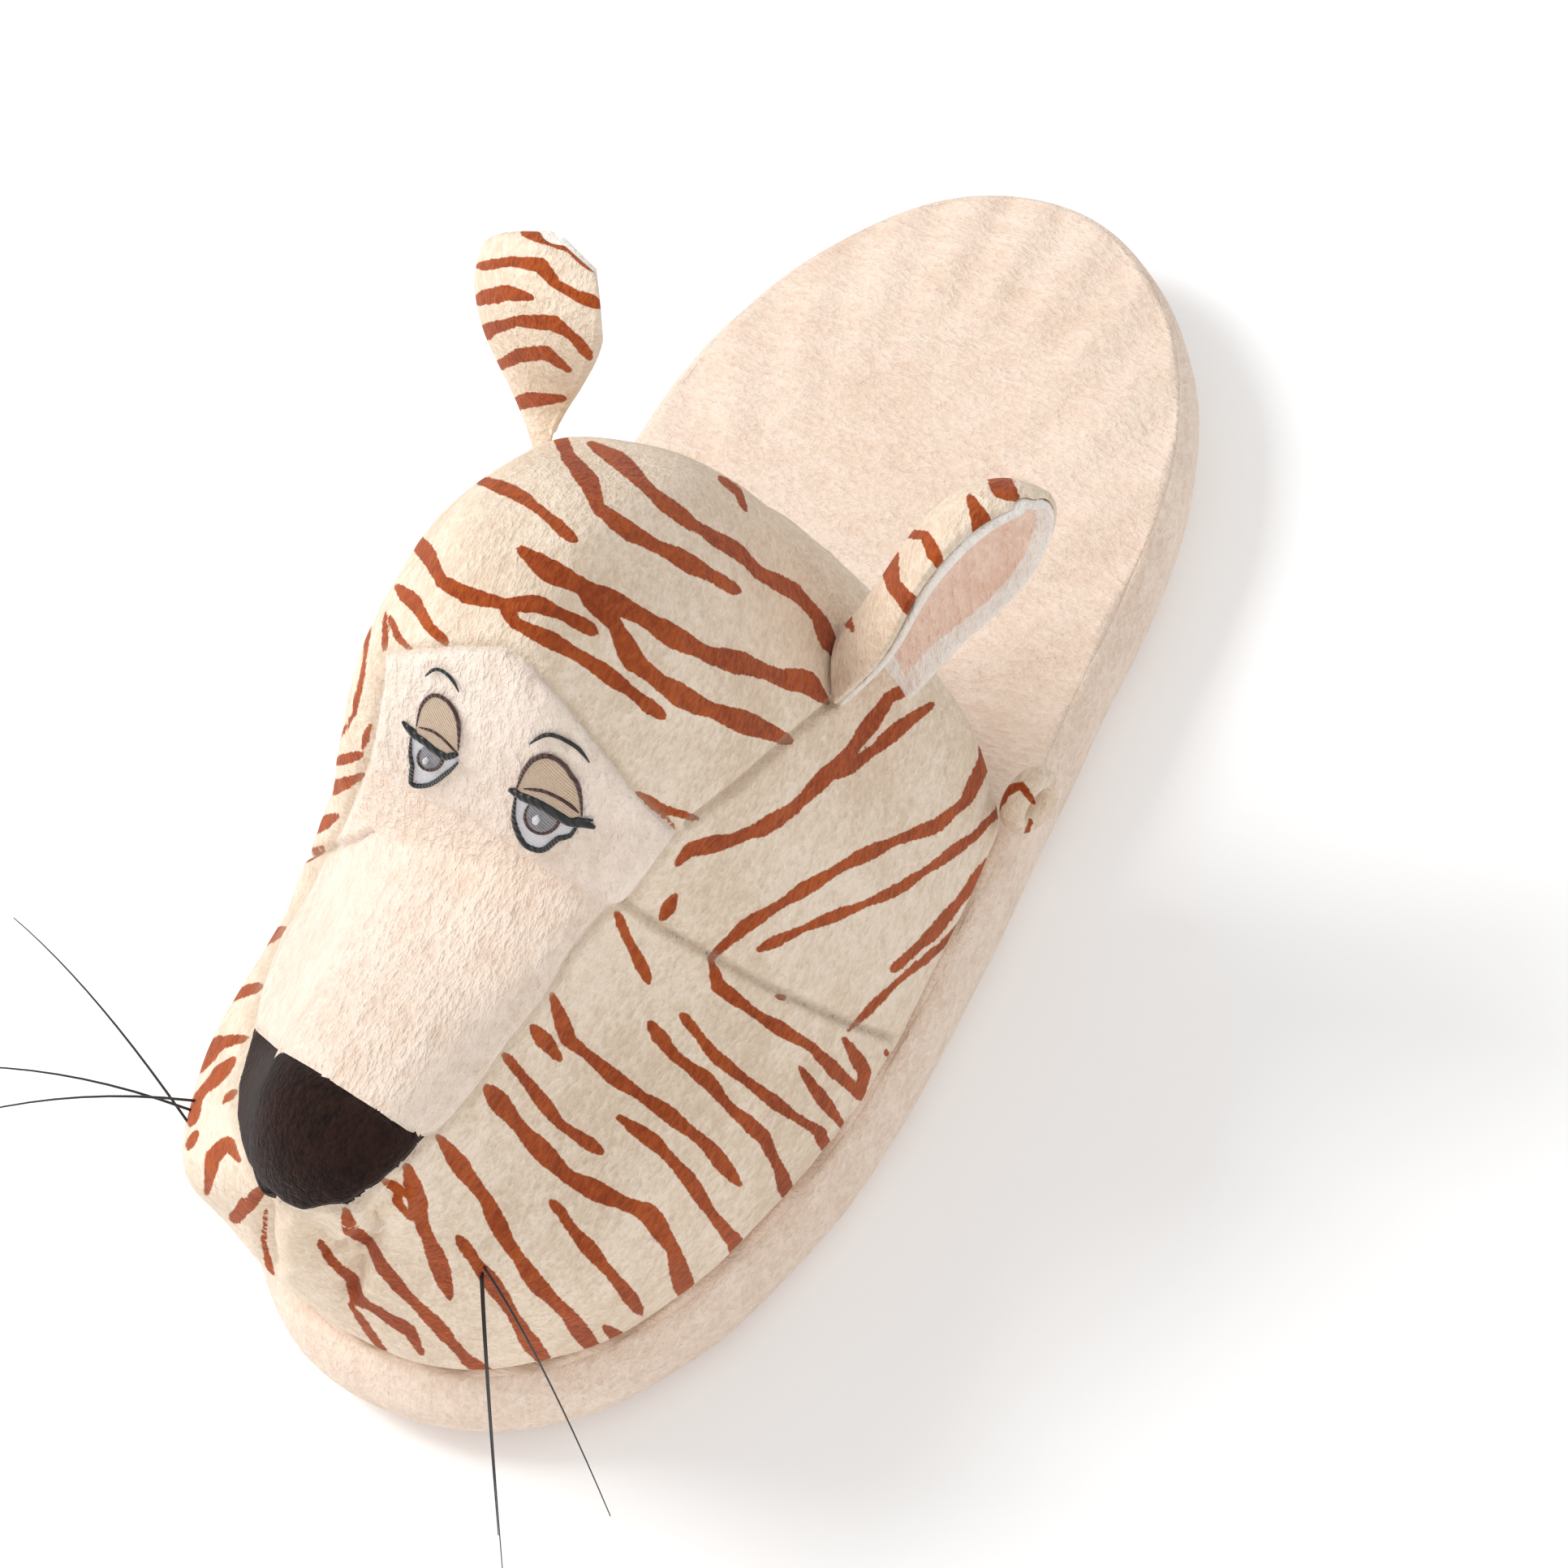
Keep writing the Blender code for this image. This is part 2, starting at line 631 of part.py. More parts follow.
def make_whiskers(skin, thread):
    for index, (seat, degrees, x, y, z) in enumerate(WHISKERS):
        root = arch_point(seat / (len(HEAD) - 1), math.radians(degrees))
        shift = Vector(WHISKER_ROW) * (WHISKER_SPACING * (index % 3 - 1))
        toward = Vector((x, y, z))
        direction = toward.normalized()
        outer = root + shift + direction * WHISKER_CAST
        hit, normal, face, distance = skin.ray_cast(outer, -direction)
        start = hit + normal * (WHISKER_THICK / 2 + GAP)
        curve = bpy.data.curves.new(f"whisker_{index + 1}", "CURVE")
        curve.dimensions = "3D"
        curve.bevel_depth = WHISKER_THICK / 2
        curve.bevel_resolution = 1
        curve.use_fill_caps = True
        line = curve.splines.new("POLY")
        line.points.add(WHISKER_POINTS - 1)
        for step, point in enumerate(line.points):
            share = step / (WHISKER_POINTS - 1)
            sag = Vector((0.0, 0.0, 4 * WHISKER_BOW * toward.length * share * (1 - share)))
            point.co = (*(start + toward * share + sag), 1.0)
        curve.materials.append(thread)
        obj = bpy.data.objects.new(f"whisker_{index + 1}", curve)
        bpy.context.scene.collection.objects.link(obj)


def main():
    for old in list(bpy.data.objects):
        bpy.data.objects.remove(old, do_unlink=True)
    cream = plush("cream_plush", (0.86, 0.72, 0.58), 0.95)
    grip = plush("grip_fabric", (0.78, 0.77, 0.82), 0.6)
    tiger = plush("tiger_plush", (0.80, 0.60, 0.40), 0.95)
    pale = plush("pale_pile", (0.88, 0.82, 0.76), 0.95)
    brown = plush("nose_plush", (0.06, 0.03, 0.02), 0.95)
    thread = plush("whisker_thread", (0.02, 0.02, 0.02), 0.5)
    make_sole(cream, grip)
    make_insole(cream)
    upper = make_upper(tiger)
    make_panel("eye_patch", PATCH_TOP, EYE_SEAM, pale)
    make_panel("snout_panel", EYE_SEAM, NOSE_SEAM, cream)
    make_panel("nose", NOSE_SEAM, NOSE_END, brown)
    bpy.context.view_layer.update()
    skin = BVHTree.FromObject(upper, bpy.context.evaluated_depsgraph_get())
    make_ears(skin, tiger, cream)
    make_tuck(skin, tiger)
    make_whiskers(skin, thread)


main()
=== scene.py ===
"""The looks of a plush tiger-head slipper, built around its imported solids.

Lengths are in metres. The toe points to -Y, the heel to +Y and +X is the wearer's left.
"""

import math

import bmesh
import bpy
import numpy as np
from mathutils import Matrix, Vector, noise
from mathutils.bvhtree import BVHTree
from mathutils.kdtree import KDTree


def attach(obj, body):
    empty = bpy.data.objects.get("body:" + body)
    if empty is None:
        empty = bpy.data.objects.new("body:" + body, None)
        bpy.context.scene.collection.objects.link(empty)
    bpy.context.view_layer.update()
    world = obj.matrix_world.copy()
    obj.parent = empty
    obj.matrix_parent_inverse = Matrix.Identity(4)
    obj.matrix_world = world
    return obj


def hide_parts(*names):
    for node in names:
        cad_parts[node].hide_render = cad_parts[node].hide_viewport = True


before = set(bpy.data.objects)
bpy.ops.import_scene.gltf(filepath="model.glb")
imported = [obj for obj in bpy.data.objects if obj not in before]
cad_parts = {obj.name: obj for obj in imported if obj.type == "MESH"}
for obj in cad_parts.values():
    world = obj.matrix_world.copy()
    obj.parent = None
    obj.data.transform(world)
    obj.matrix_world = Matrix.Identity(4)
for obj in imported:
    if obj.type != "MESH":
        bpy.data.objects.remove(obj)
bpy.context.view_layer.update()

# Camera. It looks down on the toe from the wearer's left, a little rolled, through a long lens.
# Charts further on hold places as pixels of this view, so it also turns points into pixels.
PHOTO_SIDE = 1932
VIEW_AZIMUTH = math.radians(26)
VIEW_ELEVATION = math.radians(51)
VIEW_ROLL = math.radians(4.662)
VIEW_DISTANCE = 1.2
VIEW_TARGET = Vector((0.0, 0.0, 0.020))
PIXELS_PER_METRE = 7324.7
AIM_PIXEL = (920.3, 925.8)
SENSOR = 36.0

toward = Vector((math.sin(VIEW_AZIMUTH), -math.cos(VIEW_AZIMUTH), math.tan(VIEW_ELEVATION))).normalized()
level = Vector((math.cos(VIEW_AZIMUTH), math.sin(VIEW_AZIMUTH), 0.0))
rising = toward.cross(level)
picture_right = level * math.cos(VIEW_ROLL) - rising * math.sin(VIEW_ROLL)
picture_up = level * math.sin(VIEW_ROLL) + rising * math.cos(VIEW_ROLL)
eye = VIEW_TARGET + toward * VIEW_DISTANCE

camera = bpy.data.objects.new("camera", bpy.data.cameras.new("camera"))
camera.data.sensor_width = SENSOR
camera.data.lens = SENSOR * PIXELS_PER_METRE * VIEW_DISTANCE / PHOTO_SIDE
camera.data.shift_x = (PHOTO_SIDE / 2 - AIM_PIXEL[0]) / PHOTO_SIDE
camera.data.shift_y = (AIM_PIXEL[1] - PHOTO_SIDE / 2) / PHOTO_SIDE
turn = Matrix((picture_right, picture_up, toward)).transposed()
camera.matrix_world = Matrix.Translation(eye) @ turn.to_4x4()
bpy.context.scene.collection.objects.link(camera)
bpy.context.scene.camera = camera


def to_pixels(points):
    """Where points of the slipper lie in the photograph's frame."""
    shifted = points - np.array(VIEW_TARGET)
    scale = PIXELS_PER_METRE * VIEW_DISTANCE / (VIEW_DISTANCE - shifted @ np.array(toward))
    across = AIM_PIXEL[0] + shifted @ np.array(picture_right) * scale
    down = AIM_PIXEL[1] - shifted @ np.array(picture_up) * scale
    return np.stack([across, down], axis=1)


def line_of_sight(pixel):
    """The direction from the camera through a pixel."""
    right = (pixel[0] - AIM_PIXEL[0]) / PIXELS_PER_METRE
    down = (pixel[1] - AIM_PIXEL[1]) / PIXELS_PER_METRE
    return (VIEW_TARGET + picture_right * right - picture_up * down - eye).normalized()


# Floor and light. A plain white floor in a bright room, and one broad lamp on the left that throws
# the soft shadow to the lower right. The plain view transform keeps the floor white.
FLOOR_HALF = 4.0
FLOOR_WHITE = 0.93
FLOOR_GLOW = 0.12
ROOM_LIGHT = 0.68
LAMPS = [
    # name, place, size across, power in watts
    ("key", (-0.95, -0.25, 1.05), 0.55, 13.0),
    ("fill", (0.60, -1.10, 0.90), 1.5, 3.0),
]

bpy.context.scene.view_settings.view_transform = "Standard"
bm = bmesh.new()
bmesh.ops.create_grid(bm, x_segments=1, y_segments=1, size=FLOOR_HALF)
floor_mesh = bpy.data.meshes.new("floor")
bm.to_mesh(floor_mesh)
bm.free()
floor = bpy.data.objects.new("floor", floor_mesh)
bpy.context.scene.collection.objects.link(floor)
floor_finish = bpy.data.materials.new("floor")
floor_finish.use_nodes = True
floor_shader = floor_finish.node_tree.nodes["Principled BSDF"]
floor_shader.inputs["Base Color"].default_value = (FLOOR_WHITE, FLOOR_WHITE, FLOOR_WHITE, 1.0)
floor_shader.inputs["Roughness"].default_value = 0.9
floor_shader.inputs["Emission Color"].default_value = (1.0, 1.0, 1.0, 1.0)
floor_shader.inputs["Emission Strength"].default_value = FLOOR_GLOW
floor_mesh.materials.append(floor_finish)

world = bpy.data.worlds.new("room")
world.use_nodes = True
world.node_tree.nodes["Background"].inputs["Color"].default_value = (1.0, 1.0, 1.0, 1.0)
world.node_tree.nodes["Background"].inputs["Strength"].default_value = ROOM_LIGHT
bpy.context.scene.world = world

for name, place, size, power in LAMPS:
    lamp = bpy.data.objects.new(name, bpy.data.lights.new(name, "AREA"))
    lamp.data.size = size
    lamp.data.energy = power
    lamp.location = place
    lamp.rotation_euler = (VIEW_TARGET - Vector(place)).to_track_quat("-Z", "Y").to_euler()
    bpy.context.scene.collection.objects.link(lamp)


# Sole. A thick foam slab wrapped in cream plush, rounded at its edge. The plush is glued round the
# foam and turned in under the grip fabric.
WELD = 1e-5
MILLIMETRE = 0.001
SHARP = math.radians(50)
CREAM = (0.95, 0.79, 0.66)
CREAM_SHADE = (0.80, 0.61, 0.48)
SOLE_SWELL = (0.018, 0.0006)
NAP = (1.0, 0.45, 0.8)
# Painted shade in the seams: the plush's dark tone is scaled by this for its seam colour.
SEAM_SHADE = 0.75


class Wire:
    """One output of a shader node. Sums and products of wires and numbers add Math nodes."""

    def __init__(self, tree, socket=None):
        self.tree = tree
        self.socket = socket

    def make(self, kind, settings=None, sockets=None, output=0):
        """Adds a node, sets it up, feeds its sockets and gives one of its outputs."""
        node = self.tree.nodes.new(kind)
        for key, value in (settings or {}).items():
            setattr(node, key, value)
        for key, value in (sockets or {}).items():
            if isinstance(value, Wire):
                self.tree.links.new(value.socket, node.inputs[key])
            else:
                node.inputs[key].default_value = value
        return Wire(self.tree, node.outputs[output])

    def math(self, operation, *values):
        return self.make("ShaderNodeMath", {"operation": operation}, dict(enumerate(values)))

    def __add__(self, other):
        return self.math("ADD", self, other)

    def __sub__(self, other):
        return self.math("SUBTRACT", self, other)

    def __rsub__(self, other):
        return self.math("SUBTRACT", other, self)

    def __mul__(self, other):
        return self.math("MULTIPLY", self, other)

    def __truediv__(self, other):
        return self.math("DIVIDE", self, other)

    __radd__ = __add__
    __rmul__ = __mul__

    def step(self, low, high):
        """0 below low, 1 above high and smooth between."""
        sockets = {"Value": self, "From Min": low, "From Max": high}
        return self.make("ShaderNodeMapRange", {"interpolation_type": "SMOOTHSTEP"}, sockets)

    def between(self, first, second):
        """The colour that this wire picks between two, the first at 0."""
        sockets = {0: self}
        for index, colour in ((6, first), (7, second)):
            sockets[index] = colour if isinstance(colour, Wire) else (*colour, 1.0)
        return self.make("ShaderNodeMix", {"data_type": "RGBA"}, sockets, output=2)


def new_finish(name):
    """A material, its shader's sockets and an empty wire to start its nodes from."""
    material = bpy.data.materials.new(name)
    material.use_nodes = True
    shader = material.node_tree.nodes["Principled BSDF"]
    return material, shader.inputs, Wire(material.node_tree)


def connect(socket, wire):
    wire.tree.links.new(wire.socket, socket)


def pile_height(start, nap, fineness):
    """Short pile brushed one way: fine streaks over small tufts. Also gives its broad patches."""
    place = start.make("ShaderNodeTexCoord", output="Object")
    brushed = start.make("ShaderNodeMapping", sockets={"Vector": place, "Scale": nap})
    fine = {"Vector": brushed, "Scale": 1400 * fineness, "Detail": 3.0, "Roughness": 0.65}
    tufts = {"Vector": brushed, "Scale": 380 * fineness, "Detail": 2.0, "Distortion": 0.9}
    broad = {"Vector": place, "Scale": 38.0, "Detail": 2.0}
    streak = start.make("ShaderNodeTexNoise", sockets=fine)
    tuft = start.make("ShaderNodeTexNoise", sockets=tufts)
    patch = start.make("ShaderNodeTexNoise", sockets=broad)
    return streak * 0.6 + tuft * 0.4, patch


def plush(name, light, dark, nap=NAP, fineness=1.0, depth=0.0012, sheen=0.3, ink=None):
    """Plush cloth in two tones, with its pile in colour and bump and with painted shade in its seams,
    a little darker where its seam value rises. Printed cloth takes ink, two more tones, where
    print_edge is below zero. The ink follows the pile, so its edges are fuzzy."""
    material, sockets, start = new_finish(name)
    pile, patch = pile_height(start, nap, fineness)
    tone = (pile * 0.85 + patch * 0.35).step(0.42, 0.76)
    colour = tone.between(dark, light)
    if ink:
        place = start.make("ShaderNodeTexCoord", output="Object")
        fuzz = {"Vector": place, "Scale": 1100.0, "Detail": 2.0}
        ragged = start.make("ShaderNodeTexNoise", sockets=fuzz) - 0.5
        drift = start.make("ShaderNodeTexNoise", sockets={"Vector": place, "Scale": 260.0}) - 0.5
        edge = start.make("ShaderNodeAttribute", {"attribute_name": "print_edge"}, output="Fac")
        inked = 1.0 - (edge + ragged * 0.55 + drift * 0.6).step(-0.16, 0.10)
        colour = inked.between(colour, tone.between(ink[1], ink[0]))
    seam = start.make("ShaderNodeAttribute", {"attribute_name": "seam"}, output="Fac")
    # Painted shade: along the seams the cloth darkens towards this colour, where shade falls in the
    # grooves.
    seam_shade_colour = tuple(part * SEAM_SHADE for part in dark)
    connect(sockets["Base Color"], (seam * 0.4).between(colour, seam_shade_colour))
    relief = {"Height": pile, "Strength": 1.0, "Distance": depth}
    connect(sockets["Normal"], start.make("ShaderNodeBump", sockets=relief))
    sockets["Roughness"].default_value = 0.95
    sockets["Specular IOR Level"].default_value = 0.15
    sockets["Sheen Weight"].default_value = sheen
    sockets["Sheen Roughness"].default_value = 0.45
    return material


def copy_of(node):
    """A solid's shape as a bmesh, with its corners merged and its triangles paired into quads."""
    bm = bmesh.new()
    bm.from_mesh(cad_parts[node].data)
    bmesh.ops.remove_doubles(bm, verts=bm.verts, dist=WELD)
    bmesh.ops.join_triangles(
        bm, faces=bm.faces, angle_face_threshold=SHARP, angle_shape_threshold=math.radians(60)
    )
    return bm


def linked_piece(name, bm):
    """An object from a bmesh, in the scene and shaded smooth."""
    mesh = bpy.data.meshes.new(name)
    bm.to_mesh(mesh)
    bm.free()
    mesh.shade_smooth()
    piece = bpy.data.objects.new(name, mesh)
    bpy.context.scene.collection.objects.link(piece)
    return piece


def applied(piece):
    """The mesh that a piece's modifiers make."""
    shape = piece.evaluated_get(bpy.context.evaluated_depsgraph_get())
    return bpy.data.meshes.new_from_object(shape)


def subdivide(piece, levels):
    finer = piece.modifiers.new("Subdivision", "SUBSURF")
    finer.levels = finer.render_levels = levels
    piece.data = applied(piece)
    piece.modifiers.clear()
    piece.data.shade_smooth()


def rounded(bm, name, levels, crease=0.9):
    """An object with a subdivided surface, whose sharp edges keep a crease."""
    layer = bm.edges.layers.float.new("crease_edge")
    for edge in bm.edges:
        if edge.is_manifold and edge.calc_face_angle() > SHARP:
            edge[layer] = crease
    piece = linked_piece(name, bm)
    subdivide(piece, levels)
    return piece


def points_of(piece):
    values = np.empty(len(piece.data.vertices) * 3, np.float32)
    piece.data.vertices.foreach_get("co", values)
    return values.reshape(-1, 3).astype(float)


def normals_of(piece):
    values = np.empty(len(piece.data.vertices) * 3, np.float32)
    piece.data.vertices.foreach_get("normal", values)
    return values.reshape(-1, 3).astype(float)


def move_to(piece, points):
    piece.data.vertices.foreach_set("co", points.astype(np.float32).ravel())
    piece.data.update()


def uneven(points, size, height):
    """Soft hollows and swellings of one size and height, as an offset for each point."""
    return np.array([noise.noise(Vector(point) / size) * height for point in points])


def smooth(values, low, high):
    share = np.clip((values - low) / (high - low), 0.0, 1.0)
    return share * share * (3.0 - 2.0 * share)


def finish_piece(piece, material, slot, *nodes, fill):
    """Gives a padded piece its cloth and its body, and hides the solids that it stands for."""
    piece.data.materials.clear()
    piece.data.materials.append(material)
    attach(piece, "root")
    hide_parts(*nodes)


cream_plush = plush("cream_plush", CREAM, CREAM_SHADE)
sole = rounded(copy_of("sole_body"), "sole_cover", 3, crease=0.6)
spots, outward = points_of(sole), normals_of(sole)
on_edge = np.clip(1.2 - np.abs(outward[:, 2:3]), 0.0, 1.0)
move_to(sole, spots + outward * on_edge * uneven(spots, *SOLE_SWELL)[:, None])
finish_piece(sole, cream_plush, "cream_plush", "sole_body", fill=0.9)

# Grip fabric. A satin-ribbed underside, pale lilac grey, printed with rows of small clear dots.
RIB_PITCH = 0.0011
DOT_PITCH = 0.0062
DOT_RADIUS = 0.0011
GRIP_LIGHT = (0.80, 0.77, 0.83)
GRIP_SHADE = (0.62, 0.59, 0.66)
DOT_COLOUR = (0.86, 0.82, 0.80)

material, sockets, start = new_finish("grip_fabric")
place = start.make("ShaderNodeTexCoord", output="Object")
split = {"Vector": place}
along = start.make("ShaderNodeSeparateXYZ", sockets=split, output="Y")
across = start.make("ShaderNodeSeparateXYZ", sockets=split, output="X")
ribs = start.math("SINE", along * (2 * math.pi / RIB_PITCH)) * 0.5 + 0.5
row = along / DOT_PITCH
shifted = across / DOT_PITCH + start.math("FLOOR", row) * 0.5
left_over = start.math("FRACT", shifted) - 0.5
up_over = start.math("FRACT", row) - 0.5
spread = start.math("SQRT", left_over * left_over + up_over * up_over) * DOT_PITCH
dots = 1.0 - spread.step(DOT_RADIUS * 0.7, DOT_RADIUS)
weave = start.make("ShaderNodeTexNoise", sockets={"Vector": place, "Scale": 900.0, "Detail": 1.0})
cloth = (ribs * 0.7 + weave * 0.3).between(GRIP_SHADE, GRIP_LIGHT)
connect(sockets["Base Color"], (dots * 0.6).between(cloth, DOT_COLOUR))
connect(sockets["Roughness"], 0.55 - dots * 0.3)
relief = {"Height": ribs * 0.3 + dots, "Strength": 0.9, "Distance": 0.0004}
connect(sockets["Normal"], start.make("ShaderNodeBump", sockets=relief))
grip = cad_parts["outsole"]
grip.data.materials.clear()
grip.data.materials.append(material)

# Insole. A layer of soft plush over the foam, sewn down all round a few millimetres inside the
# edge, where the stitches pull it into small puckers. Its middle is bare.
PUCKER_PITCH = 0.011
PUCKER_DEPTH = 0.0005
PUCKER_REACH = 0.007
EDGE_ROLL = 0.0007
INSOLE_SWELL = (0.030, 0.0007)
SWELL_START = 0.01
RIM_LENGTH = 0.62
RIM_STRETCH = 2.5
INSOLE_LIGHT = (0.95, 0.78, 0.65)
INSOLE_SHADE = (0.84, 0.64, 0.50)

insole = rounded(copy_of("insole"), "insole_cover", 3, crease=0.5)
spots, outward = points_of(insole), normals_of(insole)
on_rim = np.flatnonzero(outward[:, 2] < 0.3)
rim = KDTree(len(on_rim))
for index in on_rim:
    rim.insert(spots[index], int(index))
rim.balance()
inside = np.array([rim.find(spot)[2] for spot in spots])
bearing = np.arctan2(spots[:, 0] * RIM_STRETCH, spots[:, 1])
puckers = np.sin(bearing * RIM_LENGTH / PUCKER_PITCH / 2) * np.exp(-((inside / PUCKER_REACH) ** 2))
top = np.clip(outward[:, 2:3], 0.0, 1.0)
swelling = uneven(spots, *INSOLE_SWELL) * np.clip(inside / SWELL_START, 0.0, 1.0)
height = puckers * PUCKER_DEPTH + swelling
rolled = smooth(1.0 - np.abs(outward[:, 2]), 0.3, 0.9) * EDGE_ROLL
lift = np.array((0.0, 0.0, 1.0)) * (top[:, 0] * height)[:, None]
move_to(insole, spots + lift + outward * rolled[:, None])
insole_plush = plush("insole_plush", INSOLE_LIGHT, INSOLE_SHADE, nap=(0.5, 1.0, 1.0), fineness=0.8)
finish_piece(insole, insole_plush, "cream_plush", "insole", fill=0.4)

# Upper. Printed plush over stuffing, cut as crown, cheeks and muzzle and sewn edge to edge. The
# tiger print is charted here as middle lines of stripes, each with its width, in pixels.
CROWN_PRINT = [
    (13, [(617, 538), (590, 591), (635, 607), (662, 626), (710, 666)]),
    (18, [(684, 524), (700, 562), (726, 594), (737, 626), (780, 658), (834, 685), (909, 728)]),
    (16, [(726, 546), (769, 572), (812, 615), (855, 647), (909, 680), (935, 706), (978, 728),
          (1008, 760), (1021, 792), (1056, 827)]),
    (16, [(507, 658), (528, 685), (544, 717), (576, 733), (619, 744), (662, 744), (700, 760),
          (734, 779)]),
    (16, [(619, 744), (635, 768), (684, 792), (732, 819), (769, 846), (817, 883)]),
    (22, [(641, 677), (673, 701), (716, 722), (759, 744), (791, 760), (834, 787), (876, 808),
          (919, 819), (962, 835), (994, 840), (1018, 864)]),
    (22, [(716, 722), (759, 771), (780, 814), (812, 840), (855, 867), (898, 883), (941, 899),
          (973, 913)]),
    (10, [(887, 589), (909, 605), (919, 629)]),
    (9, [(534, 608), (539, 620)]),
    (14, [(488, 722), (512, 744), (528, 771), (550, 792)]),
    (8, [(480, 760), (491, 787), (507, 800)]),
    (5, [(582, 548), (534, 583), (501, 626), (485, 674)]),
    (10, [(785, 977), (812, 996), (860, 1009)]),
    (6, [(801, 988), (834, 1022)]),
]
CHEEK_PRINT = [
    (16, [(834, 1065), (850, 1047), (898, 1036), (941, 1020), (978, 996), (1016, 958), (1048, 926),
          (1075, 889), (1096, 859), (1123, 846)]),
    (14, [(1016, 958), (1048, 945), (1080, 921), (1112, 894), (1150, 867)]),
    (13, [(1214, 889), (1211, 942), (1192, 985), (1155, 1017), (1096, 1039), (1042, 1065),
          (1005, 1087), (920, 1140), (875, 1180)]),
    (13, [(875, 1180), (885, 1215), (940, 1255), (1000, 1290), (1040, 1330), (1060, 1350),
          (1065, 1320), (1040, 1280)]),
    (10, [(935, 1170), (1000, 1140), (1100, 1100), (1160, 1060), (1200, 1030), (1230, 1000)]),
    (12, [(1100, 1195), (1150, 1150), (1190, 1100), (1230, 1050), (1250, 1020)]),
    (7, [(1045, 1270), (1100, 1215), (1160, 1165), (1200, 1120), (1240, 1080), (1280, 1010)]),
    (5, [(1215, 880), (1235, 920), (1240, 960), (1225, 1010)]),
    (9, [(958, 1227), (966, 1230)]),
    (10, [(1091, 1295), (1094, 1301)]),
    (14, [(815, 1132), (832, 1104)]),
]
MUZZLE_PRINT = [
    (12, [(760, 1125), (775, 1160), (790, 1190), (800, 1210)]),
    (15, [(680, 1225), (700, 1280), (760, 1330), (820, 1370), (870, 1410), (912, 1460)]),
    (16, [(655, 1265), (690, 1305)]),
    (13, [(622, 1300), (655, 1340), (690, 1385), (742, 1420)]),
    (14, [(760, 1375), (810, 1410), (850, 1455), (880, 1500), (905, 1530), (910, 1560)]),
    (14, [(800, 1260), (830, 1300), (870, 1330), (900, 1365), (940, 1400), (960, 1440),
          (975, 1485)]),
    (12, [(840, 1250), (880, 1300), (930, 1340), (970, 1370), (1010, 1395), (1020, 1420)]),
    (12, [(985, 1315), (1010, 1350), (1040, 1390)]),
    (20, [(600, 1340), (650, 1400), (700, 1450), (750, 1475), (800, 1495), (830, 1540),
          (850, 1610)]),
    (14, [(680, 1480), (710, 1520), (740, 1555), (770, 1590), (790, 1618)]),
    (17, [(540, 1400), (570, 1440), (600, 1480), (625, 1530), (660, 1580), (700, 1620),
          (730, 1660), (750, 1680)]),
    (12, [(745, 1635), (770, 1655), (790, 1660)]),
    (16, [(565, 1525), (590, 1560), (620, 1600), (650, 1650), (690, 1700)]),
    (18, [(500, 1435), (512, 1470), (520, 1510), (538, 1550), (555, 1600)]),
    (13, [(425, 1490), (432, 1515), (455, 1530), (470, 1560), (500, 1595), (540, 1635),
          (575, 1675), (620, 1708)]),
    (12, [(393, 1530), (410, 1555), (433, 1575), (440, 1600), (480, 1625), (505, 1640),
          (520, 1668)]),
    (7, [(430, 1605), (455, 1640), (480, 1675), (520, 1702)]),
    (6, [(335, 1590), (360, 1610), (400, 1640), (440, 1660), (470, 1690), (500, 1700)]),
    (5, [(328, 1490), (325, 1530), (335, 1575), (342, 1590)]),
    (14, [(300, 1478), (290, 1500), (310, 1478), (328, 1462)]),
    (9, [(470, 1453), (491, 1466), (489, 1480), (508, 1504)]),
]
LEFT_PRINT = [
    (13, [(445, 930), (400, 942)]),
    (13, [(450, 955), (400, 975), (370, 1000)]),
    (13, [(415, 1005), (370, 1030), (345, 1045)]),
    (13, [(400, 1045), (360, 1065), (330, 1080)]),
    (13, [(358, 1105), (320, 1120), (300, 1145)]),
    (13, [(350, 1145), (310, 1165), (280, 1195)]),
    (14, [(320, 1215), (280, 1230), (250, 1275)]),
    (13, [(305, 1278), (270, 1285), (240, 1325)]),
    (13, [(288, 1305), (265, 1330), (245, 1350), (235, 1385)]),
    (11, [(290, 1345), (275, 1358)]),
    (14, [(295, 1430), (280, 1408), (262, 1425), (255, 1470)]),
    (10, [(242, 1395), (232, 1415)]),
    (4, [(478, 700), (455, 760), (448, 825), (436, 880), (415, 915)]),
    (6, [(475, 755), (474, 800)]),
    (6, [(456, 893), (447, 922)]),
]
END_TAPER = 22.0
WAVER = 0.18
PRINT_REACH = 45
PRINT_GAP = 16.0
SEAM_CHART = [
    [(850, 1015), (905, 970), (970, 915), (1030, 862), (1090, 810)],
    [(770, 1115), (815, 1145), (870, 1175), (960, 1222), (1040, 1258), (1100, 1280)],
]
SEAM_DEPTH = 0.0013
SEAM_REACH = 5.0
FOLD_CHART = [
    # depth, reach in pixels, then the bottom of the fold below the nose; ridges are negative
    (0.0030, 12.0, [(495, 1465), (470, 1505), (445, 1550), (428, 1600)]),
    (0.0020, 10.0, [(328, 1478), (326, 1520), (336, 1585)]),
    (0.0018, 9.0, [(390, 1522), (412, 1545), (430, 1575)]),
    (0.0016, 9.0, [(455, 1500), (440, 1530), (400, 1548)]),
    (-0.0016, 20.0, [(362, 1505), (368, 1560)]),
    (-0.0012, 14.0, [(440, 1490), (420, 1515)]),
]
STRIPE = (0.47, 0.100, 0.020)
STRIPE_SHADE = (0.27, 0.045, 0.010)
TIGER_LIGHT = (0.93, 0.79, 0.64)
TIGER_SHADE = (0.73, 0.57, 0.42)
LINING_LIMIT = math.radians(35)
TUNNEL_SEED = Vector((0.0, -0.030, 0.030))
HEAD_MIDDLE = -0.002


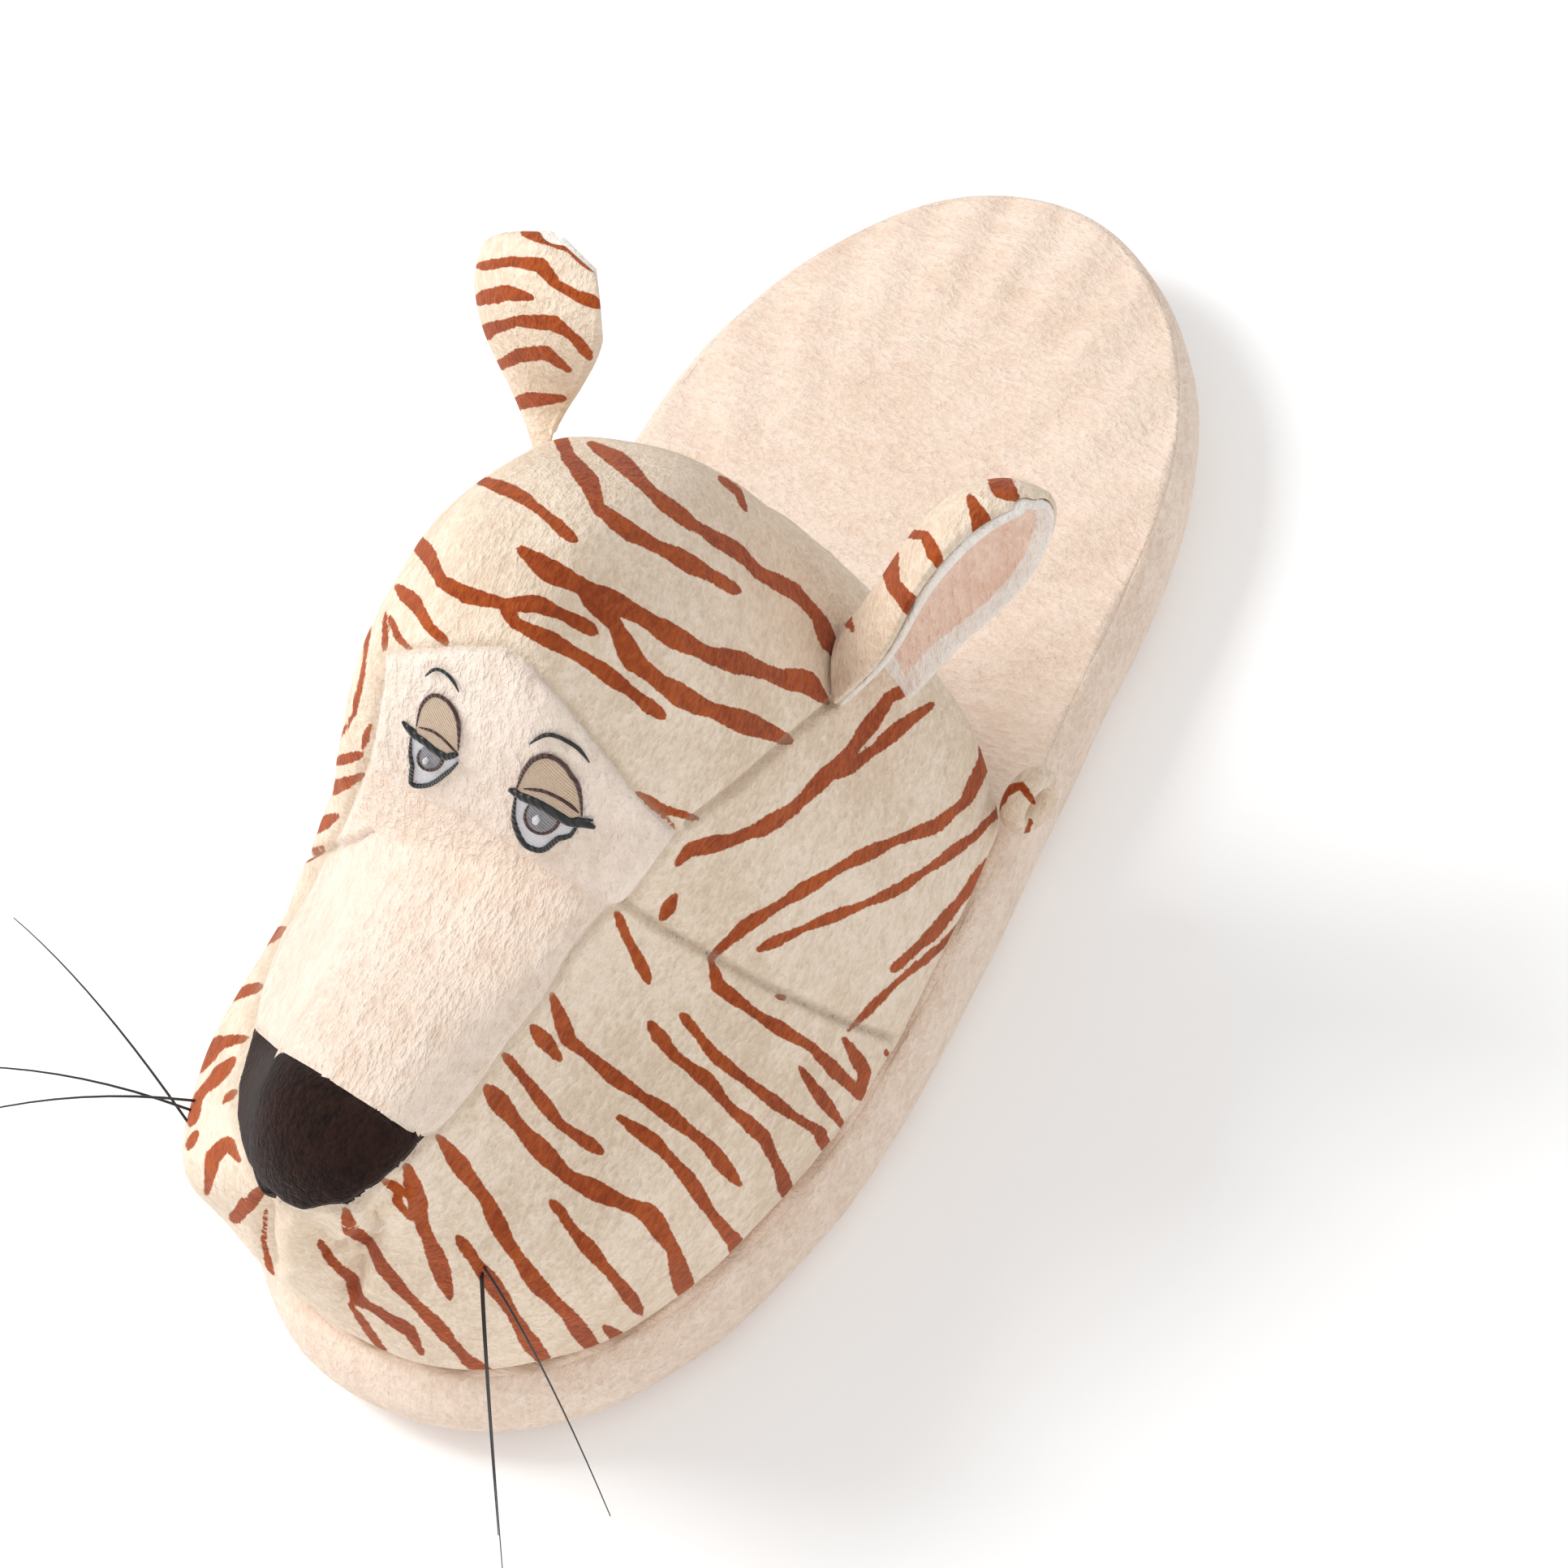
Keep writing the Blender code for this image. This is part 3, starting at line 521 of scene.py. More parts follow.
def distance_to(pixels, line):
    """Each pixel's distance to a charted line, and how far along the line the nearest place is."""
    nearest = np.full(len(pixels), 1e6)
    reached = np.zeros(len(pixels))
    length = 0.0
    for first, second in zip(line, line[1:]):
        start = np.array(first, float)
        run = np.array(second, float) - start
        size = np.linalg.norm(run)
        share = np.clip((pixels - start) @ run / size**2, 0.0, 1.0)
        gap = np.linalg.norm(pixels - start - share[:, None] * run, axis=1)
        closer = gap < nearest
        nearest[closer] = gap[closer]
        reached[closer] = length + share[closer] * size
        length += size
    return nearest, reached, length


def print_edge(pixels, print_chart):
    """Signed distance in pixels to the printed stripes' edges, negative on a stripe."""
    edge = np.full(len(pixels), 40.0)
    for number, (width, line) in enumerate(print_chart):
        low = np.min(line, axis=0) - PRINT_REACH
        high = np.max(line, axis=0) + PRINT_REACH
        near = np.flatnonzero(((pixels > low) & (pixels < high)).all(axis=1))
        if len(near) == 0:
            continue
        gap, reached, length = distance_to(pixels[near], line)
        ends = np.clip(np.minimum(reached, length - reached) / END_TAPER, 0.0, 1.0)
        waver = 1.0 + WAVER * np.sin(reached * 0.075 + number * 2.1)
        half = (width + 3) / 2 * (0.45 + 0.55 * np.sqrt(ends)) * waver
        edge[near] = np.minimum(edge[near], gap - half)
    return edge


def facing(points, outward):
    """How squarely each point faces the camera."""
    sight = np.array(eye) - points
    sight /= np.linalg.norm(sight, axis=1)[:, None]
    return (sight * outward).sum(axis=1)


def mirrored(points, middle):
    flipped = points.copy()
    flipped[:, 0] = 2 * middle - flipped[:, 0]
    return flipped


def add_value(piece, name, values):
    piece.data.attributes.new(name, "FLOAT", "POINT")
    piece.data.attributes[name].data.foreach_set("value", values.astype(np.float32))


def print_stripes(piece, print_chart, other_chart=None, middle=HEAD_MIDDLE):
    """Stores each point's distance to the print, in millimetres. The side that the camera can't
    see takes the same chart mirrored, and stripes run thin where the two meet."""
    points, outward = points_of(piece), normals_of(piece)
    seen = facing(points, outward)
    edge = print_edge(to_pixels(points), print_chart)
    edge += PRINT_GAP * (1.0 - smooth(seen, -0.04, 0.05))
    flipped = mirrored(points, middle)
    far_seen = facing(flipped, mirrored(outward, 0.0))
    other = print_edge(to_pixels(flipped), other_chart or print_chart)
    other += PRINT_GAP * (1.0 - smooth(far_seen, -0.04, 0.10) + smooth(seen, -0.05, 0.03))
    add_value(piece, "print_edge", np.minimum(edge, other) * 1000 / PIXELS_PER_METRE)


def lining_faces(bm):
    """The faces of the upper's inside, reached from one over the foot without crossing an edge."""
    tree = BVHTree.FromBMesh(bm)
    bm.faces.ensure_lookup_table()
    first = bm.faces[tree.ray_cast(TUNNEL_SEED, Vector((0.0, 0.0, 1.0)))[2]]
    found, waiting = {first}, [first]
    while waiting:
        for edge in waiting.pop().edges:
            if not edge.is_manifold or edge.calc_face_angle() > LINING_LIMIT:
                continue
            fresh = [face for face in edge.link_faces if face not in found]
            found.update(fresh)
            waiting.extend(fresh)
    return list(found)


HEAD_NODES = ("upper", "eye_patch", "snout_panel", "nose")
PANEL_GAP = 0.0016
VOXEL = 0.00145
SMOOTHINGS = 6
HIDDEN = 60.0
SNAP = 0.15
HEAD_SWELL = (0.016, 0.0006)


def spread_sideways(piece, distance):
    """Widens a panel along the head's surface, so that it meets what it is sewn to."""
    spots, outward = points_of(piece), normals_of(piece)
    middle = np.stack([np.full(len(spots), HEAD_MIDDLE), np.maximum(spots[:, 1], -0.10),
                       np.full(len(spots), 0.035)], axis=1)
    away = spots - middle
    away /= np.linalg.norm(away, axis=1)[:, None]
    sideways = outward - away * (outward * away).sum(axis=1)[:, None]
    size = np.linalg.norm(sideways, axis=1)[:, None]
    move_to(piece, spots + np.where(size > 0.35, sideways / np.maximum(size, 0.35), 0.0) * distance)


def joined_form(nodes):
    """One smooth closed form, as a bmesh, of several solids that lie side by side."""
    bm = bmesh.new()
    for node in nodes:
        part = rounded(copy_of(node), node + "_rough", 2)
        if node != "upper":
            spread_sideways(part, PANEL_GAP)
        bm.from_mesh(part.data)
        bpy.data.objects.remove(part)
    piece = linked_piece("head_form", bm)
    even = piece.modifiers.new("Remesh", "REMESH")
    even.mode = "VOXEL"
    even.voxel_size = VOXEL
    bm = bmesh.new()
    bm.from_mesh(applied(piece))
    bpy.data.objects.remove(piece)
    axes = {"use_axis_x": True, "use_axis_y": True, "use_axis_z": True}
    for smoothing in range(SMOOTHINGS):
        bmesh.ops.smooth_vert(bm, verts=bm.verts, factor=0.5, **axes)
    return bm


def cut_along(bm, name):
    """Cuts a mesh where the value of that name at its corners passes zero."""
    layer = bm.verts.layers.float[name]
    for vertex in bm.verts:
        if abs(vertex[layer]) < SNAP:
            vertex[layer] = 0.0
    fresh = []
    for edge in [edge for edge in bm.edges if edge.verts[0][layer] * edge.verts[1][layer] < 0.0]:
        first, second = edge.verts
        share = first[layer] / (first[layer] - second[layer])
        vertex = bmesh.utils.edge_split(edge, first, share)[1]
        vertex[layer] = 0.0
        fresh.append(vertex)
    bmesh.ops.connect_verts(bm, verts=fresh)


def keep_side(bm, name, side):
    """Deletes the faces on the other side of a cut."""
    layer = bm.verts.layers.float[name]
    other = [face for face in bm.faces if side * sum(vertex[layer] for vertex in face.verts) <= 0.0]
    bmesh.ops.delete(bm, geom=other, context="FACES")


def search_tree(bm, faces):
    """A search tree over some of a mesh's faces."""
    places = [vertex.co for vertex in bm.verts]
    return BVHTree.FromPolygons(places, [[vertex.index for vertex in face.verts] for face in faces])


form = joined_form(HEAD_NODES)
solid = copy_of("upper")
solid.verts.index_update()
lined = set(lining_faces(solid))
inner_tree = search_tree(solid, lined)
outer_tree = search_tree(solid, [face for face in solid.faces if face not in lined])
solid.free()
layer = form.verts.layers.float.new("inward")
for vertex in form.verts:
    to_skin = outer_tree.find_nearest(vertex.co)[3]
    vertex[layer] = (to_skin - inner_tree.find_nearest(vertex.co)[3]) / MILLIMETRE
cut_along(form, "inward")
inside = form.copy()
keep_side(inside, "inward", 1)
keep_side(form, "inward", -1)
lining = linked_piece("upper_lining", inside)
finish_piece(lining, cream_plush, "cream_plush", "upper", fill=0.5)
head = linked_piece("head_skin", form)
subdivide(head, 1)


# Face. The long-pile eye patch, the cream snout and the dark nose are let into the tiger cloth and
# sewn edge to edge. Each swells up from its seams, and the muzzle is gathered under the nose.
FACE_OUTLINE = [
    (473, 802), (560, 795), (622, 796), (648, 812), (701, 868), (781, 972), (837, 1028),
    (805, 1073), (770, 1117), (749, 1120), (704, 1173), (671, 1231), (625, 1290), (593, 1338),
    (561, 1377), (541, 1397), (526, 1402), (501, 1431), (469, 1459), (426, 1485), (377, 1493),
    (349, 1483), (324, 1465), (303, 1434), (294, 1408), (288, 1376), (290, 1334), (300, 1299),
    (311, 1265), (322, 1217), (346, 1150), (382, 1093), (406, 1040), (434, 991), (452, 938),
    (462, 896), (471, 847),
]
PATCH_SEAM = [
    (340, 880), (453, 938), (500, 970), (540, 990), (588, 1012), (652, 1058), (701, 1083),
    (752, 1118), (900, 1230),
]
NOSE_SEAM = [
    (200, 1200), (311, 1265), (340, 1291), (395, 1325), (465, 1369), (501, 1393), (528, 1402),
    (640, 1430),
]
PANEL_RISE = 0.0010
PANEL_EDGE = 14.0
PANEL_SEAM_DEPTH = 0.0007
PANEL_SEAM_REACH = 6.0
PATCH_WRAP = 12.0
EDGE_ON = 0.08
FAR_SIDE = 0.07
SNOUT_SEAMS = (FACE_OUTLINE[9:17], FACE_OUTLINE[26:34])


def inside_outline(pixels, outline):
    """Whether each pixel lies inside a closed outline."""
    inside = np.zeros(len(pixels), bool)
    for (x0, y0), (x1, y1) in zip(outline, outline[1:] + outline[:1]):
        if y0 != y1:
            level_with = (pixels[:, 1] > min(y0, y1)) & (pixels[:, 1] <= max(y0, y1))
            inside ^= level_with & (pixels[:, 0] < x0 + (pixels[:, 1] - y0) * (x1 - x0) / (y1 - y0))
    return inside


def below(pixels, line):
    """Distance in pixels from an open line that runs left to right, negative above it."""
    heights = np.interp(pixels[:, 0], [point[0] for point in line], [point[1] for point in line])
    return distance_to(pixels, line)[0] * np.where(pixels[:, 1] > heights, 1.0, -1.0)


def trough(gap, depth, reach):
    return depth * np.exp(-((gap / reach) ** 2))


def to_seams(points, hidden):
    """Signed distances to the face's outline, to the patch's seam and to the nose's."""
    pixels = to_pixels(points)
    around = distance_to(pixels, FACE_OUTLINE + FACE_OUTLINE[:1])[0]
    around = np.where(inside_outline(pixels, FACE_OUTLINE), -around, around) + HIDDEN * hidden
    return np.stack([around, below(pixels, PATCH_SEAM), below(pixels, NOSE_SEAM)])


spots, outward = points_of(head), normals_of(head)
seen = facing(spots, outward)
pixels = to_pixels(spots)
polygons = [polygon.vertices for polygon in head.data.polygons]
head_tree = BVHTree.FromPolygons([vertex.co for vertex in head.data.vertices], polygons)
seam_middles = []
for seam in SNOUT_SEAMS:
    hits = [head_tree.ray_cast(eye, line_of_sight(pixel))[0] for pixel in seam]
    route = np.array(sorted((hit.y, hit.x) for hit in hits if hit))
    seam_middles.append(np.interp(spots[:, 1], route[:, 0], route[:, 1]))
face_middle = sum(seam_middles) / 2
beyond = spots[:, 0] < face_middle
flipped = mirrored(spots, face_middle)
direct = to_seams(spots, (1.0 - beyond) * (1.0 - smooth(seen, 0.0, EDGE_ON)))
across = to_seams(flipped, 1.0 - smooth(facing(flipped, mirrored(outward, 0.0)), 0.0, EDGE_ON))
across[0] = np.maximum(across[0], -across[1] - PATCH_WRAP)
far_share = beyond * (1.0 - smooth(seen, 0.0, FAR_SIDE))
to_face, to_patch, to_nose = direct + (across - direct) * far_share
add_value(head, "face", to_face)
add_value(head, "patch", to_patch)
add_value(head, "nose", to_nose)
on_face = smooth(-to_face, 0.0, PANEL_EDGE)
height = on_face * PANEL_RISE - trough(to_face, PANEL_SEAM_DEPTH, PANEL_SEAM_REACH)
height -= on_face * trough(to_patch, PANEL_SEAM_DEPTH, PANEL_SEAM_REACH)
height -= on_face * trough(to_nose, PANEL_SEAM_DEPTH, PANEL_SEAM_REACH)
for spot_set, normal_set in ((spots, outward), (mirrored(spots, HEAD_MIDDLE), mirrored(outward, 0.0))):
    shown = smooth(facing(spot_set, normal_set), 0.0, 0.15)
    for line in SEAM_CHART:
        height -= shown * trough(distance_to(to_pixels(spot_set), line)[0], SEAM_DEPTH, SEAM_REACH)
# The seam value marks how deep each point lies in a seam's groove; the plush paints shade there.
add_value(head, "seam", np.clip(-height / PANEL_SEAM_DEPTH, 0.0, 1.0))
for depth, reach, line in FOLD_CHART:
    height -= smooth(seen, 0.05, 0.25) * trough(distance_to(pixels, line)[0], depth, reach)
move_to(head, spots + outward * (height + uneven(spots, *HEAD_SWELL))[:, None])
print_stripes(head, CROWN_PRINT + CHEEK_PRINT + MUZZLE_PRINT + LEFT_PRINT,
              CROWN_PRINT + CHEEK_PRINT + MUZZLE_PRINT)

bm = bmesh.new()
bm.from_mesh(head.data)
bpy.data.objects.remove(head)
cut_along(bm, "face")
panels = bm.copy()
keep_side(bm, "face", 1)
upper = linked_piece("upper_skin", bm)
tiger_plush = plush("tiger_plush", TIGER_LIGHT, TIGER_SHADE, sheen=0.12, ink=(STRIPE, STRIPE_SHADE))
finish_piece(upper, tiger_plush, "tiger_plush", "upper", fill=0.8)

PATCH_LIGHT = (0.93, 0.80, 0.70)
PATCH_SHADE = (0.78, 0.64, 0.53)
SNOUT_LIGHT = (0.94, 0.79, 0.67)
SNOUT_SHADE = (0.80, 0.62, 0.49)
NOSE_LIGHT = (0.030, 0.012, 0.008)
NOSE_SHADE = (0.008, 0.004, 0.003)

keep_side(panels, "face", -1)
cut_along(panels, "patch")
lower = panels.copy()
keep_side(panels, "patch", -1)
patch = linked_piece("eye_patch_skin", panels)
patch_plush = plush("pale_pile", PATCH_LIGHT, PATCH_SHADE, (0.8, 0.5, 0.4), 0.6, 0.0020)
finish_piece(patch, patch_plush, "pale_pile", "eye_patch", fill=0.8)
keep_side(lower, "patch", 1)
cut_along(lower, "nose")
tip = lower.copy()
keep_side(lower, "nose", -1)
snout = linked_piece("snout_skin", lower)
snout_plush = plush("snout_plush", SNOUT_LIGHT, SNOUT_SHADE, (1.0, 0.4, 0.8), 0.8, 0.0015)
finish_piece(snout, snout_plush, "cream_plush", "snout_panel", fill=0.8)
keep_side(tip, "nose", 1)
nose = linked_piece("nose_skin", tip)
nose_plush = plush("nose_plush", NOSE_LIGHT, NOSE_SHADE, (1.0, 0.6, 0.8), 1.0, 0.0010, 0.1)
finish_piece(nose, nose_plush, "nose_plush", "nose", fill=0.8)


# Ears. Printed plush behind and cream plush in front, sewn round the edge, turned and cupped, and
# caught into the crown's seams at their roots.
EAR_RIGHT_PRINT = [
    (13, [(645, 287), (672, 292), (700, 304), (735, 332)]),
    (13, [(590, 328), (630, 322), (665, 326), (685, 350), (712, 365), (740, 376)]),
    (15, [(571, 378), (595, 367), (625, 361), (656, 367)]),
    (14, [(577, 426), (605, 405), (640, 395), (682, 398), (706, 415), (727, 440)]),
    (14, [(587, 473), (612, 452), (640, 438), (672, 434), (702, 457)]),
    (13, [(603, 517), (625, 502), (650, 493), (695, 491)]),
]
EAR_LEFT_PRINT = [
    (20, [(1090, 660), (1100, 720), (1135, 760)]),
    (12, [(1090, 655), (1140, 660), (1160, 700)]),
    (20, [(1195, 612), (1208, 640), (1215, 682)]),
    (24, [(1222, 590), (1250, 612)]),
    (18, [(1243, 565), (1272, 580)]),
    (12, [(1008, 706), (1032, 739), (1050, 776)]),
]
EAR_BAND_PITCH = 0.0105
EAR_BAND_WIDTH = 0.0030
EAR_BAND_SWAY = (0.012, 0.0040)
EAR_RIGHT_EDGE = [(330, 735), (420, 728), (483, 702), (525, 677)]
EAR_DRAW = 0.75
EAR_RIM = 0.0030
EAR_ROOT_DROP = 0.004
EAR_ROOT_REACH = 0.012
EAR_LIGHT = (0.94, 0.73, 0.61)
EAR_SHADE = (0.80, 0.55, 0.43)
RIM_LIGHT = (0.96, 0.90, 0.84)
RIM_SHADE = (0.84, 0.76, 0.69)



def cut_ear(points, side):
    """Draws the broad edge of the right ear in to the photographed outline, and lets the left
    ear's root down into the crown."""
    if side == "right":
        pixels = to_pixels(points)
        edge = np.interp(pixels[:, 1], *zip(*EAR_RIGHT_EDGE))
        beyond = np.maximum(pixels[:, 0] - edge, 0.0) * EAR_DRAW / PIXELS_PER_METRE
        return points - np.array(picture_right) * beyond[:, None]
    above = points[:, 2] - points[:, 2].min()
    drop = EAR_ROOT_DROP * (1.0 - smooth(above, 0.0, EAR_ROOT_REACH))
    return points - np.array((0.0, 0.0, 1.0)) * drop[:, None]


def from_rim(bm, points):
    """Each point's distance to the sharp edge of an ear's layer."""
    sharp = [edge for edge in bm.edges if edge.is_manifold and edge.calc_face_angle() > SHARP]
    places = [edge.verts[0].co.lerp(edge.verts[1].co, share) for edge in sharp for share in (0.0, 0.5)]
    rim = KDTree(len(places))
    for index, place in enumerate(places):
        rim.insert(place, index)
    rim.balance()
    return np.array([rim.find(point)[2] for point in points])


rim_tones = (RIM_LIGHT, RIM_SHADE)
ear_plush = plush("ear_plush", EAR_LIGHT, EAR_SHADE, (0.8, 0.8, 0.4), 0.8, 0.0014, ink=rim_tones)
for side, chart in (("left", EAR_LEFT_PRINT), ("right", EAR_RIGHT_PRINT)):
    back = rounded(copy_of(f"ear_{side}_back"), f"ear_{side}_back_skin", 3, crease=0.3)
    front = rounded(copy_of(f"ear_{side}_lining"), f"ear_{side}_lining_skin", 3, crease=0.3)
    plain = copy_of(f"ear_{side}_lining")
    add_value(front, "print_edge", (from_rim(plain, points_of(front)) - EAR_RIM) * 1000)
    plain.free()
    for layer_skin in (back, front):
        move_to(layer_skin, cut_ear(points_of(layer_skin), side))
    spots, outward = points_of(back), normals_of(back)
    seen = facing(spots, outward)
    charted = print_edge(to_pixels(spots), chart) * 1000 / PIXELS_PER_METRE
    height = (spots[:, 2] - spots[:, 2].min() + uneven(spots, *EAR_BAND_SWAY)) / EAR_BAND_PITCH
    from_band = (np.abs(height - np.floor(height) - 0.5) * EAR_BAND_PITCH - EAR_BAND_WIDTH / 2) * 1000
    turned = smooth(seen, -0.05, 0.05)
    add_value(back, "print_edge", charted * turned + from_band * (1.0 - turned))
    finish_piece(back, tiger_plush, "tiger_plush", f"ear_{side}_back", fill=0.3)
    finish_piece(front, ear_plush, "cream_plush", f"ear_{side}_lining", fill=0.3)

# Tuck. The collar's lower outer end is folded back on itself into a small roll.
TUCK_PRINT = [
    (9, [(1228, 1000), (1238, 975), (1258, 968), (1275, 990)]),
    (8, [(1240, 1050), (1262, 1035), (1270, 1010)]),
]
tuck = rounded(copy_of("collar_tuck"), "collar_tuck_skin", 2)
print_stripes(tuck, TUCK_PRINT)
finish_piece(tuck, tiger_plush, "tiger_plush", "collar_tuck", fill=0.7)


# Eyes. Half-closed eyes embroidered on the patch: satin-stitched tan lids, white and grey below,
# outlined in brown and black thread, with a lash line and a thin brow. Places are pixels.
EYES = {
    "left": {
        "lid": [(638, 969), (644, 953), (654, 937), (668, 930), (681, 931), (695, 941), (705, 955),
                (712, 966), (716, 985), (716, 1003), (700, 1006), (681, 995), (662, 984),
                (646, 977)],
        "white": [(636, 980), (634, 1004), (640, 1025), (649, 1039), (665, 1045), (676, 1041),
                  (689, 1030), (703, 1026), (712, 1013), (700, 1006), (681, 995), (662, 984),
                  (646, 977)],
        "iris": ((669, 1003), 21),
        "lid_line": [(637, 972), (644, 953), (654, 937), (668, 930), (681, 931), (695, 941),
                     (705, 955), (712, 966), (716, 985), (717, 1003)],
        "crease": [(646, 969), (668, 971), (687, 979), (703, 989), (713, 999)],
        "lash": [(628, 970), (643, 977), (662, 985), (681, 996), (700, 1008), (716, 1011), (733, 1017)],
        "lash_tip": [(700, 1006), (716, 1008), (731, 1008)],
        "outline": [(637, 978), (634, 1004), (640, 1025), (649, 1039), (665, 1045), (676, 1041),
                    (689, 1030), (703, 1027), (713, 1012)],
        "brow": [(653, 915), (668, 905), (682, 904), (697, 911), (713, 922), (725, 938)],
    },
    "right": {
        "lid": [(515, 893), (520, 871), (528, 859), (538, 855), (550, 860), (560, 872), (566, 888),
                (567, 907), (565, 923), (552, 926), (539, 919), (526, 909), (516, 901)],
        "white": [(509, 905), (507, 926), (510, 942), (508, 961), (520, 965), (534, 962),
                  (547, 954), (558, 944), (565, 936), (552, 926), (539, 919), (526, 909),
                  (516, 901)],
        "iris": ((532, 931), 15),
        "lid_line": [(515, 893), (520, 871), (528, 859), (538, 855), (550, 860), (560, 872),
                     (566, 888), (567, 907), (566, 922)],
        "crease": [(518, 894), (534, 898), (547, 907), (558, 918), (565, 925)],
        "lash": [(498, 887), (511, 901), (526, 911), (539, 922), (552, 929), (566, 927)],
        "lash_tip": [(503, 894), (512, 900), (520, 905)],
        "outline": [(509, 904), (507, 926), (510, 942), (508, 962), (520, 966), (534, 963),
                    (547, 954), (558, 945), (566, 937)],
        "brow": [(526, 832), (534, 825), (543, 824), (553, 830), (561, 839), (567, 851)],
    },
}
THREADS = [
    # line, thickness in pixels, thread
    ("lid_line", 5.6, "brown"),
    ("crease", 5.2, "brown"),
    ("lash", 12.5, "black"),
    ("lash_tip", 4.6, "black"),
    ("outline", 6.8, "black"),
    ("brow", 5.0, "black"),
]
GLINT = [(-0.55, 0.05), (-0.25, -0.10), (-0.10, 0.20), (-0.30, 0.45), (-0.52, 0.35)]
STITCH_RISE = 0.0005
GRID_STEP = 4.0
THREAD_SIDES = 8
THREAD_FLAT = 0.7
IRIS_STEPS = 28
IRIS_ARC = (-3, 18)
IRIS_LINE = 4.2
RIGHT_THIN = 0.8

patch_tree = BVHTree.FromPolygons(
    [vertex.co for vertex in patch.data.vertices],
    [polygon.vertices for polygon in patch.data.polygons],
)


def on_patch(pixel, rise):
    """The place on the eye patch behind a pixel, raised off its pile."""
    hit, normal, face, distance = patch_tree.ray_cast(eye, line_of_sight(pixel))
    if hit is None:
        sight = line_of_sight(pixel)
        hit, normal, face, distance = patch_tree.find_nearest(eye + sight * (VIEW_DISTANCE - 0.1))
    return hit + normal * rise


def satin(name, light, dark, lines):
    """Rows of shining thread laid side by side."""
    material, sockets, start = new_finish(name)
    place = start.make("ShaderNodeTexCoord", output="Object")
    turned = start.make("ShaderNodeMapping", sockets={"Vector": place, "Rotation": (0.4, 0.6, 0.5)})
    rows = {"Vector": turned, "Scale": lines, "Distortion": 1.2, "Detail": 1.0}
    stitch = start.make("ShaderNodeTexWave", sockets=rows, output="Fac")
    fleck = start.make("ShaderNodeTexNoise", sockets={"Vector": place, "Scale": 1600.0})
    connect(sockets["Base Color"], (stitch * 0.6 + fleck * 0.5).between(dark, light))
    relief = {"Height": stitch, "Strength": 0.7, "Distance": 0.0003}
    connect(sockets["Normal"], start.make("ShaderNodeBump", sockets=relief))
    sockets["Roughness"].default_value = 0.45
    sockets["Sheen Weight"].default_value = 0.2
    return material


threads = {
    "tan": satin("tan_thread", (0.86, 0.66, 0.47), (0.42, 0.28, 0.18), 900.0),
    "white": satin("white_thread", (0.96, 0.95, 0.97), (0.62, 0.60, 0.66), 850.0),
    "grey": satin("grey_thread", (0.42, 0.41, 0.44), (0.05, 0.05, 0.06), 700.0),
    "brown": satin("brown_thread", (0.075, 0.018, 0.014), (0.030, 0.008, 0.006), 500.0),
    "black": satin("black_thread", (0.014, 0.016, 0.020), (0.004, 0.004, 0.005), 500.0),
}


def embroidered(bm, name, thread):
    """A finished piece of embroidery, which lies on the patch and rides with it."""
    bmesh.ops.recalc_face_normals(bm, faces=bm.faces)
    piece = linked_piece(name, bm)
    piece.data.materials.append(threads[thread])
    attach(piece, "root")


def stitched_area(name, outline, rise, thread):
    """A filled area of satin stitch, bedded into the pile all round."""
    bm = bmesh.new()
    corners = [bm.verts.new((x, y, 0.0)) for x, y in outline]
    bm.faces.new(corners)
    low, high = np.min(outline, axis=0), np.max(outline, axis=0)
    for axis in (0, 1):
        for place in np.arange(low[axis] + GRID_STEP / 2, high[axis], GRID_STEP):
            point = Vector((place, 0, 0)) if axis == 0 else Vector((0, place, 0))
            square = Vector((1, 0, 0)) if axis == 0 else Vector((0, 1, 0))
            everything = bm.verts[:] + bm.edges[:] + bm.faces[:]
            bmesh.ops.bisect_plane(bm, geom=everything, plane_co=point, plane_no=square)
    border = [edge for edge in bm.edges if edge.is_boundary]
    skirt = bmesh.ops.extrude_edge_only(bm, edges=border)["geom"]
    skirt = {item for item in skirt if isinstance(item, bmesh.types.BMVert)}
    for vertex in bm.verts:
        height = -STITCH_RISE if vertex in skirt else rise
        vertex.co = on_patch((vertex.co.x, vertex.co.y), height)
    embroidered(bm, name, thread)


def tube(centres, radii, sides, turn_of):
    """A closed tube of rings round a path, each ring turned by turn_of(its direction)."""
    bm = bmesh.new()
    rings = []
    for index, (centre, radius) in enumerate(zip(centres, radii)):
        run = (centres[min(index + 1, len(centres) - 1)] - centres[max(index - 1, 0)]).normalized()
        ring = bmesh.ops.create_circle(bm, segments=sides, radius=radius)["verts"]
        matrix = Matrix.Translation(centre) @ turn_of(run).to_4x4()
        bmesh.ops.transform(bm, matrix=matrix, verts=ring)
        rings.append([bm.edges.get((ring[side], ring[(side + 1) % sides])) for side in range(sides)])
    for first, second in zip(rings, rings[1:]):
        bmesh.ops.bridge_loops(bm, edges=first + second)
    bmesh.ops.holes_fill(bm, edges=rings[0] + rings[-1], sides=0)
    return bm


def flattened(run):
    """Turns a ring of thread across its run, pressed flat onto the patch."""
    aside = run.cross(toward).normalized()
    return Matrix((aside, aside.cross(run) * THREAD_FLAT, run)).transposed()


